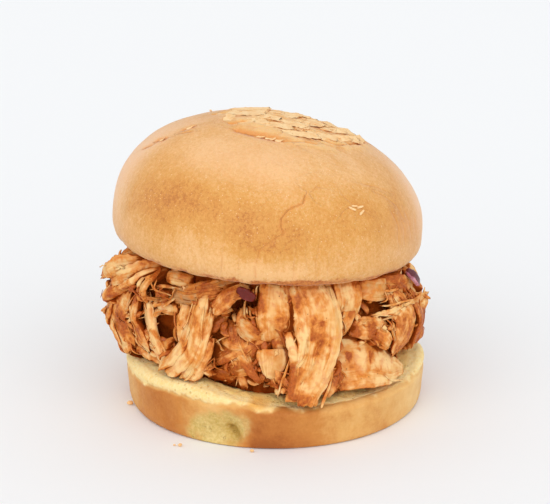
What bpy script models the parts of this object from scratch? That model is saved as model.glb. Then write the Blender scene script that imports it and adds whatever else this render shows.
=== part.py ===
"""A pulled chicken sandwich: a domed bun top, a heap of sauced shreds with two slices of red onion, and a bun bottom.

Run it with blender --background --python part.py, or from Blender's text editor.
Lengths are in metres. +Z is up, and the origin is the centre of the flat underside of the bun bottom.
The sandwich faces -Y. A place in the heap is given as (angle, height, reach): degrees round from the front
towards +X, millimetres above the ground, and millimetres out from the upright axis.
"""

import math
import random

import bmesh
import bpy
from mathutils import Matrix, Vector, noise

MM = 0.001
GAP = 0.4 * MM  # free space kept between two pieces that rest on each other

# Bun top. Its cut face is its local origin.
TOP_RADIUS = 53.9 * MM
TOP_CUT_RADIUS = 48.0 * MM
TOP_WAIST = 6.8 * MM  # height of the widest level above the cut face
WAIST_POWER = 2.43  # how square the rounding below the widest level is: 2 would be an ellipse
DOME_HEIGHT = 36.3 * MM  # from the widest level to the crest
DOME_POWER = 2.30  # how square the dome is
DOME_LEAN = 3.5  # heights grow by this much for each metre towards -X
DOME_SHIFT = 6.1 * MM  # how far the crest sits towards +X before the lean
TOP_PLACE = Vector((-2.8 * MM, 0, 56.3 * MM))
TOP_ROLL = 0.064  # radians about Y
TOP_PITCH = -0.0145  # radians about X
TOP_SEGMENTS = 60
TOP_SWELL = 0.8 * MM  # depth of the broad swells and hollows of the crust

# The loose flakes of crust on the crest: place (x, y) in mm, length and width in mm, turn about Z and lift of the
# free edge in degrees.
FLAKES = [
    (-26, -11, 17, 11, 25, 9),
    (-17, 4, 20, 12, -10, 8),
    (-19, -19, 15, 9, 60, 7),
    (-6, -10, 21, 11, 10, 7),
    (-4, 9, 19, 12, -35, 9),
    (4, -21, 16, 8, -15, 8),
    (13, -3, 20, 11, 20, 9),
    (15, 13, 17, 11, 70, 8),
    (24, -10, 16, 9, -30, 10),
    (33, 1, 14, 8, 15, 11),
]
FLAKE_THICKNESS = 1.4 * MM

# Bun bottom
BOTTOM_FOOT = 50.8 * MM  # radius of the flat underside
BOTTOM_BELLY = 52.4 * MM  # radius where the rounded foot ends
BOTTOM_RIM = 53.2 * MM
BOTTOM_ROUND = 6.0 * MM  # height of the rounded foot
BOTTOM_HEIGHT = 13.2 * MM  # of the cut face's pressed middle
BOTTOM_LIP = 1.3 * MM  # rise of the cut face from its middle to the rim
BOTTOM_CURLS = [(-66, 44, 5.0), (-30, 18, 3.0), (84, 15, 4.2)]  # where the rim curls up: angle, spread, rise in mm
CURL_START = 0.88  # share of the rim's radius beyond which a curled rim is level
BOTTOM_SEGMENTS = 72
TEARS = [(-16, 4.5, 3.6), (-24, 9, 1.2)]  # torn crust low on the front: angle, spread and depth in mm
TEAR_HEIGHT = 4.5 * MM

# Heap of chicken
CORE_RADIUS = 44 * MM
CORE_LUMPS = 2.2 * MM
CORE_SLACK = 0.8 * MM  # free space over and under the core, beyond the gap
CORE_SHIFTS = [(-17, 15, -7), (-3, 12, -2), (-82, 26, 10), (74, 24, 5)]  # angle, spread and size in mm
SHRED_SIDES = 6
FILLER_COUNT = 50
FILLER_SEED = 11

# The shreds and slabs that can be told apart: name, path of (angle, height, reach), width and thickness in mm,
# and how far the flat side is turned from facing outwards, in degrees.
MAIN_PIECES = [
    ("slab_far_left", [(-80, 45.5, 60), (-69, 51.5, 58), (-60, 55.5, 50)], 6.5, 3.8, 30),
    ("slab_left", [(-73, 46.5, 58.5), (-62, 52.5, 54.5), (-52, 56, 46)], 8, 3.6, 30),
    ("cross_long", [(-73, 43, 58), (-59, 51, 56), (-53, 56, 48)], 2.6, 2.4, 0),
    ("cross_short", [(-57, 42, 51), (-52, 50, 55.5), (-51, 56, 49)], 2.4, 2.2, 0),
    ("bump_left", [(-64, 48, 53.5), (-75, 43, 58), (-85, 36.5, 58.5)], 7.5, 5, 25),
    ("wisp_left", [(-77, 36, 56), (-85, 33, 59), (-89, 30, 59.5)], 4, 2, 40),
    ("curtain_left", [(-74, 45, 56), (-84, 33, 57), (-87, 22, 54)], 11, 5, 0),
    ("fold_left", [(-65, 47, 54), (-72, 35, 56), (-67, 26, 53)], 9, 4.5, -20),
    ("fold_inner", [(-61, 46, 52), (-62, 37, 53), (-58, 27, 51)], 8, 4, 25),
    ("heel_left", [(-50, 25, 44), (-60, 26, 47), (-71, 27, 50)], 6, 4, 20),
    ("ribbon_cream", [(-57, 47, 51), (-54, 37, 51), (-51, 27, 49), (-44, 20, 48)], 3.6, 2.6, 15),
    ("loop_arm", [(-24, 53, 43), (-27, 43, 48), (-32, 31, 50), (-46, 19, 50)], 9, 4, 10),
    ("loop_side", [(-40, 47, 44), (-38, 37, 48), (-36, 28, 47)], 4, 3, -10),
    ("loop_curl", [(-43, 37, 43), (-45, 31, 46), (-41, 26, 44)], 2.2, 2, 20),
    ("loop_tail", [(-27, 36, 48), (-30, 28, 50), (-36, 19, 50)], 7, 3.2, -15),
    ("loop_crown", [(-12, 53, 42), (-19, 51, 46), (-26, 45, 47)], 6, 3, 10),
    ("knob_left", [(-52, 53, 44), (-45, 54, 48), (-38, 54, 44)], 5, 4, 0),
    ("dark_long", [(-56, 47, 44), (-34, 50, 45), (-16, 54, 41)], 8, 4, 15),
    ("dark_lower", [(-52, 43, 43), (-35, 46, 43), (-19, 51, 41)], 5, 3, -10),
    ("edge_left", [(-57, 46, 47), (-52, 43, 48), (-46, 41, 44)], 4, 2.5, 20),
    ("plank_inner", [(0, 54, 43), (0, 46, 46), (1, 35, 45)], 10, 5, 0),
    ("plank_under", [(-3, 38, 41), (1, 35, 43), (4, 30, 42)], 8, 4, 20),
    ("sauced_curve", [(-12, 46, 42), (-3, 44, 45), (4, 37, 45)], 3, 2.5, 0),
    ("cube", [(-1, 34, 43), (-1, 29, 45.5), (-1, 25, 44)], 9, 7, 0),
    ("diagonal", [(-22, 40, 40), (-14, 31, 44), (-5, 21, 45)], 4.5, 3.5, 0),
    ("stub_left", [(-23, 31, 39), (-22, 25, 42), (-21, 19, 41)], 3.4, 3, 0),
    ("stub_right", [(-17, 30, 39), (-15, 25, 41), (-13, 19, 42)], 4, 3, 15),
    ("low_left", [(-33, 19, 41), (-25, 20, 45), (-15, 19, 44)], 5, 3.4, 30),
    ("low_middle", [(-3, 20, 44), (2, 22, 46), (6, 27, 43)], 5.5, 3.4, 20),
    ("plank_front", [(13, 54, 43), (16, 43, 47.5), (15, 29, 50), (9, 17, 53)], 14, 6, 0),
    ("finger_front", [(6, 38, 46), (8, 30, 50), (9, 25, 49)], 3, 2.6, 0),
    ("chip_front", [(22, 26, 47), (22, 22, 49), (20, 18, 49)], 4.5, 3.5, 20),
    ("chunk_right", [(25, 26, 46), (38, 26, 49), (50, 22, 48)], 17, 7, 0),
    ("slab_upper", [(29, 54, 43), (28, 48, 46), (28, 41, 44)], 8, 4, 0),
    ("slab_grey", [(34, 51, 44), (41, 49, 46), (49, 47, 45)], 8, 3.4, 20),
    ("strap_right", [(25, 38, 44), (29, 41, 46), (35, 46, 44)], 5, 3, 0),
    ("wedge_long", [(31, 38, 46), (44, 43, 49.5), (61, 46.5, 52)], 4.5, 2.6, 25),
    ("crumple_right", [(35, 38, 45), (44, 36, 48), (52, 32, 49)], 9, 4.5, 10),
    ("drape_right", [(54, 48, 49), (56, 38, 52), (56, 26, 50)], 8, 4, 10),
    ("drape_far", [(64, 46, 50), (67, 36, 53), (69, 25, 51)], 9, 4, -15),
    ("tail_right", [(57, 44.5, 49), (67, 41, 53), (76, 37, 55.5)], 7, 4, 25),
    ("slab_right", [(45, 52, 44), (57, 49.5, 49.5), (69, 45.5, 51.5)], 8, 3.6, 20),
    ("knob_right", [(40, 34, 46), (45, 34, 50.5), (49, 31, 49)], 5, 4, 0),
]


def clear_scene():
    for old in list(bpy.data.objects):
        bpy.data.objects.remove(old)


def material(name, colour, roughness):
    made = bpy.data.materials.new(name)
    made.use_nodes = True
    shader = made.node_tree.nodes["Principled BSDF"]
    shader.inputs["Base Color"].default_value = (*colour, 1)
    shader.inputs["Roughness"].default_value = roughness
    shader.inputs["Metallic"].default_value = 0
    return made


def new_object(name, mesh, finish=None):
    made = bpy.data.objects.new(name, mesh)
    bpy.context.scene.collection.objects.link(made)
    if finish:
        mesh.materials.append(finish)
    return made


def smoothstep(low, high, value):
    t = min(1, max(0, (value - low) / (high - low)))
    return t * t * (3 - 2 * t)


def spun(profile, segments):
    """A bmesh of the (radius, height) profile turned once round Z. The profile starts and ends on the axis."""
    mesh = bmesh.new()
    points = [mesh.verts.new((radius, 0, height)) for radius, height in profile]
    edges = [mesh.edges.new(pair) for pair in zip(points, points[1:])]
    bmesh.ops.spin(
        mesh, geom=points + edges, axis=(0, 0, 1), cent=(0, 0, 0), angle=math.tau, steps=segments, use_merge=True
    )
    bmesh.ops.remove_doubles(mesh, verts=mesh.verts, dist=0.01 * MM)
    bmesh.ops.recalc_face_normals(mesh, faces=mesh.faces)
    return mesh


def shaded(made):
    """Shades an object smooth, except over creases sharper than 50 degrees."""
    made.data.shade_smooth()
    made.data.set_sharp_from_angle(angle=math.radians(50))
    return made


def finished(mesh_data, name, finish):
    """Turns a bmesh into a shaded object."""
    mesh = bpy.data.meshes.new(name)
    mesh_data.to_mesh(mesh)
    mesh_data.free()
    return shaded(new_object(name, mesh, finish))


# Bun top


def rounded(share):
    """The quarter of a squared-off ellipse that rounds the bun top's lower rim, from 1 at 0 to 0 at 1."""
    return (1 - share**WAIST_POWER) ** (1 / WAIST_POWER)


def top_profile():
    """From the middle of the cut face, out round the waist and up over the dome to the crest."""
    cut_face = [(share * TOP_CUT_RADIUS, 0) for share in (0, 0.55, 0.97)]
    waist = []
    for step in range(5):
        share = rounded(1 - step / 5)
        radius = TOP_CUT_RADIUS + (TOP_RADIUS - TOP_CUT_RADIUS) * share
        waist.append((radius, TOP_WAIST * step / 5))
    dome = []
    steps = 13
    for step in range(steps + 1):
        turn = math.pi / 2 * step / steps
        radius = TOP_RADIUS * max(0, math.cos(turn)) ** (2 / DOME_POWER)
        dome.append((radius, TOP_WAIST + DOME_HEIGHT * math.sin(turn) ** (2 / DOME_POWER)))
    dome[-1] = (0, TOP_WAIST + DOME_HEIGHT)
    return cut_face + waist + dome


def leaned(place):
    """Moves a point of the upright dome to its place on the leaning one."""
    crest = min(1, max(0, (place.z - TOP_WAIST) / DOME_HEIGHT))
    return Vector((place.x + DOME_SHIFT * crest**2, place.y, max(0, place.z * (1 - DOME_LEAN * place.x))))


def dome_surface(x, y):
    """The point of the upright dome over (x, y), and the way it faces."""
    radius = math.hypot(x, y)
    turn = math.acos((radius / TOP_RADIUS) ** (DOME_POWER / 2))
    height = TOP_WAIST + DOME_HEIGHT * math.sin(turn) ** (2 / DOME_POWER)
    steepness = (radius / TOP_RADIUS) ** (DOME_POWER - 1) / TOP_RADIUS
    rise = ((height - TOP_WAIST) / DOME_HEIGHT) ** (DOME_POWER - 1) / DOME_HEIGHT
    outward = Vector((x, y, 0)).normalized()
    return Vector((x, y, height)), (outward * steepness + Vector((0, 0, rise))).normalized()


def make_flake(x, y, length, width, turn, lift):
    """A bmesh of one loose plate of crust: seven-cornered, sunk in the dome along one side and lifted at the other."""
    place, facing = dome_surface(x * MM, y * MM)
    lean = Vector((0, 0, 1)).rotation_difference(facing).to_matrix().to_4x4()
    spin = Matrix.Rotation(math.radians(turn), 4, "Z") @ Matrix.Rotation(math.radians(lift), 4, "X")
    mesh = bmesh.new()
    draw = random.Random(round(x * 31 + y))
    ring = []
    for corner in range(7):
        way = math.tau * (corner + draw.uniform(-0.25, 0.25)) / 7
        ring.append(mesh.verts.new((length / 2 * MM * math.cos(way), width / 2 * MM * math.sin(way), 0)))
    face = mesh.faces.new(ring)
    solid = bmesh.ops.extrude_face_region(mesh, geom=[face])["geom"]
    for vert in (item for item in solid if isinstance(item, bmesh.types.BMVert)):
        vert.co = Vector((vert.co.x * 0.86, vert.co.y * 0.86, FLAKE_THICKNESS))
    bmesh.ops.recalc_face_normals(mesh, faces=mesh.faces)
    sunk = Matrix.Translation(place - facing * FLAKE_THICKNESS * 0.45)
    bmesh.ops.transform(mesh, matrix=sunk @ lean @ spin, verts=mesh.verts)
    for vert in mesh.verts:
        vert.co = leaned(vert.co)
    return mesh


def make_top(finish):
    mesh = spun(top_profile(), TOP_SEGMENTS)
    mesh.normal_update()
    swells = [TOP_SWELL * noise.noise(vert.co * 32) * smoothstep(0, TOP_WAIST, vert.co.z) for vert in mesh.verts]
    moved = [vert.co + vert.normal * swell for vert, swell in zip(mesh.verts, swells)]
    for vert, place in zip(mesh.verts, moved):
        vert.co = leaned(place)
    made = joined(mesh, [make_flake(*values) for values in FLAKES], "bun_top", finish)
    made.location = TOP_PLACE
    made.rotation_euler = (TOP_PITCH, TOP_ROLL, 0)
    return made


def under_top(x, y):
    """Height of the bun top's underside over a point: the cut face, and the rounded rim outside it. It is taken a
    little inwards of the point, to stay clear of the rim's swells."""
    normal = Matrix.Rotation(TOP_ROLL, 3, "Y") @ Matrix.Rotation(TOP_PITCH, 3, "X") @ Vector((0, 0, 1))
    across = Vector((x - TOP_PLACE.x, y - TOP_PLACE.y, 0))
    cut_face = TOP_PLACE.z - (normal.x * across.x + normal.y * across.y) / normal.z
    share = (across.length - 1.5 * MM - TOP_CUT_RADIUS) / (TOP_RADIUS - TOP_CUT_RADIUS)
    rim = leaned(Vector((across.x, across.y, TOP_WAIST * (1 - rounded(min(1, max(0, share)))))))
    return cut_face + rim.z


# Bun bottom


def bumps(angle, places):
    """Sum, in metres, of smooth bumps given as (angle, spread, size in mm)."""
    return sum(size * MM * math.exp(-(((angle - at) / spread) ** 2)) for at, spread, size in places)


def front_angle(x, y):
    """Degrees round the upright axis, from the front towards +X."""
    return math.degrees(math.atan2(x, -y))


def on_bottom(x, y):
    """Height of the bun bottom's cut face at a point, and of its rim beyond it."""
    share = min(1, math.hypot(x, y) / BOTTOM_RIM)
    curl = bumps(front_angle(x, y), BOTTOM_CURLS) * min(1, share / CURL_START) ** 4
    return BOTTOM_HEIGHT + BOTTOM_LIP * share**4 + curl


def bottom_profile():
    """From the middle of the underside, round the foot, up the side and in over the cut face. Heights above the
    foot are shares of the cut face's height."""
    foot = [(0, 0), (BOTTOM_FOOT * 0.6, 0), (BOTTOM_FOOT, 0)]
    for step in (1, 2, 3):
        turn = math.pi / 2 * step / 3
        radius = BOTTOM_FOOT + (BOTTOM_BELLY - BOTTOM_FOOT) * math.sin(turn)
        foot.append((radius, BOTTOM_ROUND * (1 - math.cos(turn))))
    side = []
    for share in (0.5, 0.7, 0.88, 1):
        radius = BOTTOM_BELLY + (BOTTOM_RIM - BOTTOM_BELLY) * math.sin(math.pi / 2 * share)
        side.append((radius, share * BOTTOM_HEIGHT))
    face = [(share * BOTTOM_RIM, BOTTOM_HEIGHT) for share in (0.975, 0.9, 0.78, 0.55, 0.28, 0)]
    return foot + side + face


def tear_depth(angle, height):
    """How far the torn crust is sunk at an angle in degrees and a height in metres."""
    up = (height - TEAR_HEIGHT) / (1.4 * TEAR_HEIGHT)
    return bumps(angle, TEARS) * math.exp(-(up**2)) * smoothstep(0, 1.5 * MM, height)


def make_bottom(finish):
    mesh = spun(bottom_profile(), BOTTOM_SEGMENTS)
    for vert in mesh.verts:
        place = vert.co.copy()
        radius = math.hypot(place.x, place.y)
        if place.z > BOTTOM_ROUND:
            share = (place.z - BOTTOM_ROUND) / (BOTTOM_HEIGHT - BOTTOM_ROUND)
            place.z += share * (on_bottom(place.x, place.y) - BOTTOM_HEIGHT)
        if place.z > 0 and radius > BOTTOM_FOOT:
            wobble = 0.9 * MM * noise.noise(Vector((place.x * 45, place.y * 45, 3.0)))
            outer = smoothstep(BOTTOM_FOOT, BOTTOM_BELLY, radius)
            sunk = tear_depth(front_angle(place.x, place.y), place.z)
            new_radius = radius + outer * (wobble - sunk)
            place.x *= new_radius / radius
            place.y *= new_radius / radius
        vert.co = place
    return finished(mesh, "bun_bottom", finish)


# Heap of chicken


def heap_point(angle, height, reach):
    """A place in the heap, from degrees and millimetres to metres."""
    turn = math.radians(angle)
    return Vector((reach * math.sin(turn), -reach * math.cos(turn), height)) * MM


def curve_through(points, count):
    """Points evenly spaced in parameter on a Catmull-Rom curve through the given ones."""
    padded = [2 * points[0] - points[1], *points, 2 * points[-1] - points[-2]]
    found = []
    for step in range(count):
        whole, part = divmod(step / (count - 1) * (len(points) - 1), 1)
        if whole == len(points) - 1:
            whole, part = len(points) - 2, 1
        a, b, c, d = padded[int(whole) : int(whole) + 4]
        found.append(
            0.5 * (2 * b + (c - a) * part + (2 * a - 5 * b + 4 * c - d) * part**2 + (3 * b - a - 3 * c + d) * part**3)
        )
    return found


def kept_between_buns(place, slack):
    """Presses a point down under the bun top and up off the bun bottom. The slack is extra free space."""
    low = on_bottom(place.x, place.y) + GAP + slack
    high = under_top(place.x, place.y) - GAP - slack
    return Vector((place.x, place.y, min(high, max(low, place.z))))


def shred(path, width, thickness, turn, rings=5):
    """A bmesh of one shred of meat: a flat bundle along a path, a little narrower at its torn ends."""
    line = curve_through([heap_point(*spot) for spot in path], rings)
    slack = (0.3 + 0.3 * noise.noise(line[0] * 900)) * MM  # differs from piece to piece, so no faces coincide
    taper = max(0.05, 0.42 - 0.02 * width)  # broad slabs end bluntly
    sides = SHRED_SIDES
    mesh = bmesh.new()
    loops = []
    for index, middle in enumerate(line):
        ahead = line[min(index + 1, rings - 1)] - line[max(index - 1, 0)]
        ahead.normalize()
        outward = Vector((middle.x, middle.y, 0)).normalized() + Vector((0, 0, 0.35))
        outward = (outward - outward.dot(ahead) * ahead).normalized()
        outward.rotate(Matrix.Rotation(math.radians(turn), 3, ahead))
        side = ahead.cross(outward)
        along = abs(2 * index / (rings - 1) - 1)
        pinch = (1 - taper * along**5) * (1 + 0.16 * noise.noise(middle * 190))
        loop = []
        for corner in range(sides):
            way = math.tau * (corner + 0.5) / sides
            wide = math.copysign(abs(math.cos(way)) ** 0.7, math.cos(way)) * width * MM / 2 * pinch
            thick = math.copysign(abs(math.sin(way)) ** 0.7, math.sin(way)) * thickness * MM / 2 * pinch
            loop.append(mesh.verts.new(kept_between_buns(middle + side * wide + outward * thick, slack)))
        loops.append(loop)
    for first, second in zip(loops, loops[1:]):
        for corner in range(sides):
            beside = (corner + 1) % sides
            mesh.faces.new((first[corner], first[beside], second[beside], second[corner]))
    mesh.faces.new(reversed(loops[0]))
    mesh.faces.new(loops[-1])
    bmesh.ops.recalc_face_normals(mesh, faces=mesh.faces)
    return mesh


def make_core():
    """The hidden middle of the heap: a lumpy drum between the buns."""
    levels = [(0, 0), (0.7, 0), (0.95, 0.03), (1, 0.25), (0.99, 0.5), (1, 0.75), (0.97, 0.97), (0.7, 1), (0, 1)]
    mesh = spun([(share * CORE_RADIUS, level) for share, level in levels], 36)
    for vert in mesh.verts:
        x, y, level = vert.co
        radius = max(math.hypot(x, y), 1e-6)
        lump = CORE_LUMPS * noise.noise(Vector((x * 60, y * 60, level * 3)))
        belly = smoothstep(-0.1, 0.45, level) * smoothstep(1.05, 0.85, level)
        shift = bumps(front_angle(x, y), CORE_SHIFTS) * belly
        scale = 1 + (lump + shift) / radius * smoothstep(0.5 * CORE_RADIUS, 0.9 * CORE_RADIUS, radius)
        x, y = x * scale, y * scale
        low = on_bottom(x, y) + GAP + CORE_SLACK
        high = under_top(x, y) - GAP - CORE_SLACK
        vert.co = (x, y, low + level * (high - low))
    return mesh


def filler_paths():
    """Random shreds for the sides and the back, and set back behind the main pieces at the front."""
    draw = random.Random(FILLER_SEED)
    for index in range(FILLER_COUNT):
        angle = (index * 137.508 + draw.uniform(-9, 9)) % 360 - 180
        at_front = smoothstep(82, 62, abs(angle))
        reach = draw.uniform(47, 50) - 5 * at_front
        height = draw.uniform(22, 51)
        drop = draw.uniform(-16, 16)
        sweep = draw.choice((-1, 1)) * draw.uniform(4, 16)
        flare = draw.uniform(-4, 5) * (1 - at_front)
        path = [
            (angle - sweep, height + drop / 2, reach - 5),
            (angle, height, reach - 1),
            (angle + sweep, height - drop / 2, reach + flare - 1),
        ]
        yield path, draw.uniform(5, 10), draw.uniform(3.4, 5), draw.uniform(-35, 35)


def joined(core, parts, name, finish):
    """One closed solid from a core and the pieces fused to it. The pieces' own objects are removed."""
    body = finished(core, name, finish)
    group = bpy.data.collections.new("fused pieces")
    helpers = []
    for index, part in enumerate(parts):
        mesh = bpy.data.meshes.new(f"piece {index}")
        part.to_mesh(mesh)
        part.free()
        helper = bpy.data.objects.new(f"piece {index}", mesh)
        group.objects.link(helper)
        helpers.append(helper)
    bpy.context.scene.collection.children.link(group)
    union = body.modifiers.new("fuse", "BOOLEAN")
    union.operation = "UNION"
    union.operand_type = "COLLECTION"
    union.collection = group
    union.solver = "MANIFOLD"
    apply_modifiers(body)
    for helper in helpers:
        bpy.data.objects.remove(helper)
    bpy.data.collections.remove(group)
    return shaded(body)


def apply_modifiers(made):
    graph = bpy.context.evaluated_depsgraph_get()
    mesh = bpy.data.meshes.new_from_object(made.evaluated_get(graph))
    made.modifiers.clear()
    made.data = mesh


def cut_away(body, tool):
    """Cuts a piece's own space out of a body."""
    cut = body.modifiers.new("clear", "BOOLEAN")
    cut.operation = "DIFFERENCE"
    cut.object = tool
    cut.solver = "MANIFOLD"
    apply_modifiers(body)


def largest_body_only(made):
    """Drops loose scraps that a cut left beside the main body."""
    mesh = bmesh.new()
    mesh.from_mesh(made.data)
    left = set(mesh.verts)
    bodies = []
    while left:
        body, edge = set(), {left.pop()}
        while edge:
            body |= edge
            edge = {link.other_vert(vert) for vert in edge for link in vert.link_edges} - body
        left -= body
        bodies.append(body)
    bodies.sort(key=len)
    for body in bodies[:-1]:
        bmesh.ops.delete(mesh, geom=list(body), context="VERTS")
    mesh.to_mesh(made.data)
    mesh.free()


def make_heap(finish, slices):
    main = [shred(path, width, thick, turn, rings=6) for _, path, width, thick, turn in MAIN_PIECES]
    fillers = [shred(*values) for values in filler_paths()]
    heap = joined(make_core(), main + fillers, "pulled_chicken", finish)
    for piece in slices:
        room = new_object("room", piece.data.copy())
        room.matrix_world = piece.matrix_world
        grown = bmesh.new()
        grown.from_mesh(room.data)
        for vert, normal in [(vert, vert.normal.copy()) for vert in grown.verts]:
            vert.co += normal * GAP * 1.6
        grown.to_mesh(room.data)
        grown.free()
        cut_away(heap, room)
        bpy.data.objects.remove(room)
    largest_body_only(heap)
    return shaded(heap)


# Red onion


def make_onion(name, finish, place, length, depth, thickness, bend, turn):
    """A short slice of one onion layer: a strip bent round an arc. The turn is in degrees about X, Y and Z."""
    mesh = bmesh.new()
    radius = length / bend
    steps = 6
    loops = []
    for step in range(steps + 1):
        way = bend * (step / steps - 0.5)
        taper = 1 - 0.35 * abs(2 * step / steps - 1) ** 2
        loop = []
        for out, along in ((-0.5, -0.5), (0.5, -0.5), (0.5, 0.5), (-0.5, 0.5)):
            reach = radius + out * thickness * taper
            loop.append(
                mesh.verts.new((reach * math.sin(way), -reach * math.cos(way) + radius, along * depth * taper))
            )
        loops.append(loop)
    for first, second in zip(loops, loops[1:]):
        for corner in range(4):
            beside = (corner + 1) % 4
            mesh.faces.new((first[corner], first[beside], second[beside], second[corner]))
    mesh.faces.new(loops[0])
    mesh.faces.new(loops[-1])
    bmesh.ops.recalc_face_normals(mesh, faces=mesh.faces)
    bmesh.ops.bevel(mesh, geom=mesh.edges[:], offset=0.25 * MM, segments=1, affect="EDGES")
    turned = Matrix.Translation(heap_point(*place)) @ Matrix.Rotation(math.radians(turn[2]), 4, "Z")
    turned = turned @ Matrix.Rotation(math.radians(turn[1]), 4, "Y") @ Matrix.Rotation(math.radians(turn[0]), 4, "X")
    bmesh.ops.transform(mesh, matrix=turned, verts=mesh.verts)
    return finished(mesh, name, finish)


def main():
    clear_scene()
    make_bottom(material("crust of the bun bottom", (0.70, 0.38, 0.15), 0.55))
    make_top(material("crust of the bun top", (0.72, 0.41, 0.17), 0.5))
    purple = material("red onion skin", (0.30, 0.09, 0.13), 0.35)
    maroon = material("sauced red onion", (0.24, 0.05, 0.06), 0.35)
    slices = [
        make_onion("red_onion_side", purple, (65, 50.4, 52), 8.5 * MM, 4.4 * MM, 1.7 * MM, 0.9, (-60, 50, 12)),
        make_onion("red_onion_front", maroon, (-12, 51.5, 45.5), 7 * MM, 3.8 * MM, 1.5 * MM, 0.7, (0, 25, -12)),
    ]
    make_heap(material("sauced chicken", (0.62, 0.33, 0.13), 0.4), slices)


main()
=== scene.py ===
# %% [markdown]
# # A pulled chicken sandwich
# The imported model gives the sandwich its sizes: a domed bun top, a heap of sauced shreds, two slices of red
# onion and a bun bottom. This script keeps those solids as the frame and lays finely made pieces over them:
# crust with flakes, torn crumb, and meat built up fibre by fibre. Lengths are in metres, +Z is up, and the
# sandwich faces -Y.

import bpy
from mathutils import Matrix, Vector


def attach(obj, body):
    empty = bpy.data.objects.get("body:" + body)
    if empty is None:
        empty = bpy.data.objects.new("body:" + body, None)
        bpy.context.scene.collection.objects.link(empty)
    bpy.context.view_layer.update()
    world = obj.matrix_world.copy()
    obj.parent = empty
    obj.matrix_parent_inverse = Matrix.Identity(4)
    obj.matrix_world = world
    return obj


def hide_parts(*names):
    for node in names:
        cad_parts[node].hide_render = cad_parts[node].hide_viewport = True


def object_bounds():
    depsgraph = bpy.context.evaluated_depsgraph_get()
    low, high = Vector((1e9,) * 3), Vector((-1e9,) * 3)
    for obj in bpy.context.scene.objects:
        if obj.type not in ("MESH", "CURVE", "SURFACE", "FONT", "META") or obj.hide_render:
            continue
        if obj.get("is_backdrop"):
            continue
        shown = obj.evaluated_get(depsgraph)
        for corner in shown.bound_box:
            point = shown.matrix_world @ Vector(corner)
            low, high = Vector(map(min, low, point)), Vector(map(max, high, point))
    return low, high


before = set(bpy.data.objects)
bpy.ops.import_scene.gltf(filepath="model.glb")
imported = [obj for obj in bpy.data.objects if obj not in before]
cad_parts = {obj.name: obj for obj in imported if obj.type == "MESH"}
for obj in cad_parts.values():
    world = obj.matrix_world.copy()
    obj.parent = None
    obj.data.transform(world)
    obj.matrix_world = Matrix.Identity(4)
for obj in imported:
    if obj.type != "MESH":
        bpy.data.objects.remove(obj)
solid_box = [list(corner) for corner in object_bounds()]
print("solids' box, mm:", [[round(value * 1000, 1) for value in corner] for corner in solid_box])

# %% Modules and the unit
import math
import random

import bpy
import numpy as np
from mathutils import Matrix, Vector, noise

MM = 0.001

# %% [markdown]
# ## Swells
# Food is uneven at every size. Blender's own noise works on one point at a time, which is slow for a
# hundred thousand points, so this is the same kind of gradient noise for whole arrays.

# %% Noise for arrays of points
def swells(points, size, seed=0):
    """Smooth noise from about -1 to 1. The size is the distance from one swell to the next, in the points'
    unit."""
    spots = np.asarray(points, float) / size + np.array([12.73, 4.17, 8.39]) * seed
    cell = np.floor(spots).astype(np.int64)
    part = spots - cell
    fade = part**3 * (part * (part * 6 - 15) + 10)
    total = np.zeros(spots.shape[:-1])
    for corner in np.ndindex(2, 2, 2):
        at = cell + corner
        mixed = (at[..., 0] * 73856093) ^ (at[..., 1] * 19349663) ^ (at[..., 2] * 83492791)
        mixed = ((mixed ^ (mixed >> 13)) * 1274126177) & 0x7FFFFFFF
        mixed ^= mixed >> 15
        way = np.stack([((mixed >> shift) & 255) / 127.5 - 1 for shift in (0, 8, 16)], -1)
        share = np.where(corner, fade, 1 - fade).prod(-1)
        total += share * (way * (part - corner)).sum(-1)
    return total * 1.6


def layered(points, size, layers=3, seed=0):
    """Swells with finer and weaker swells on them."""
    return sum(swells(points, size / 2**layer, seed + layer) / 2**layer for layer in range(layers))


def smoothstep(low, high, value):
    t = np.clip((value - low) / (high - low), 0, 1)
    return t * t * (3 - 2 * t)


probe = swells(np.random.default_rng(1).uniform(0, 1, (4000, 3)), 0.05)
print("noise runs from", round(float(probe.min()), 2), "to", round(float(probe.max()), 2))

# %% [markdown]
# ## Skins
# Every piece of this food is a closed skin: rings of points, joined ring to ring, with a fan of triangles
# over each end. A bun is one wide skin of many points and a shred of meat is a narrow one, so one helper
# makes both. Skins that belong together go into one mesh, each with its own rectangle on the texture map,
# so that the finish can be baked evenly later.

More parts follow.
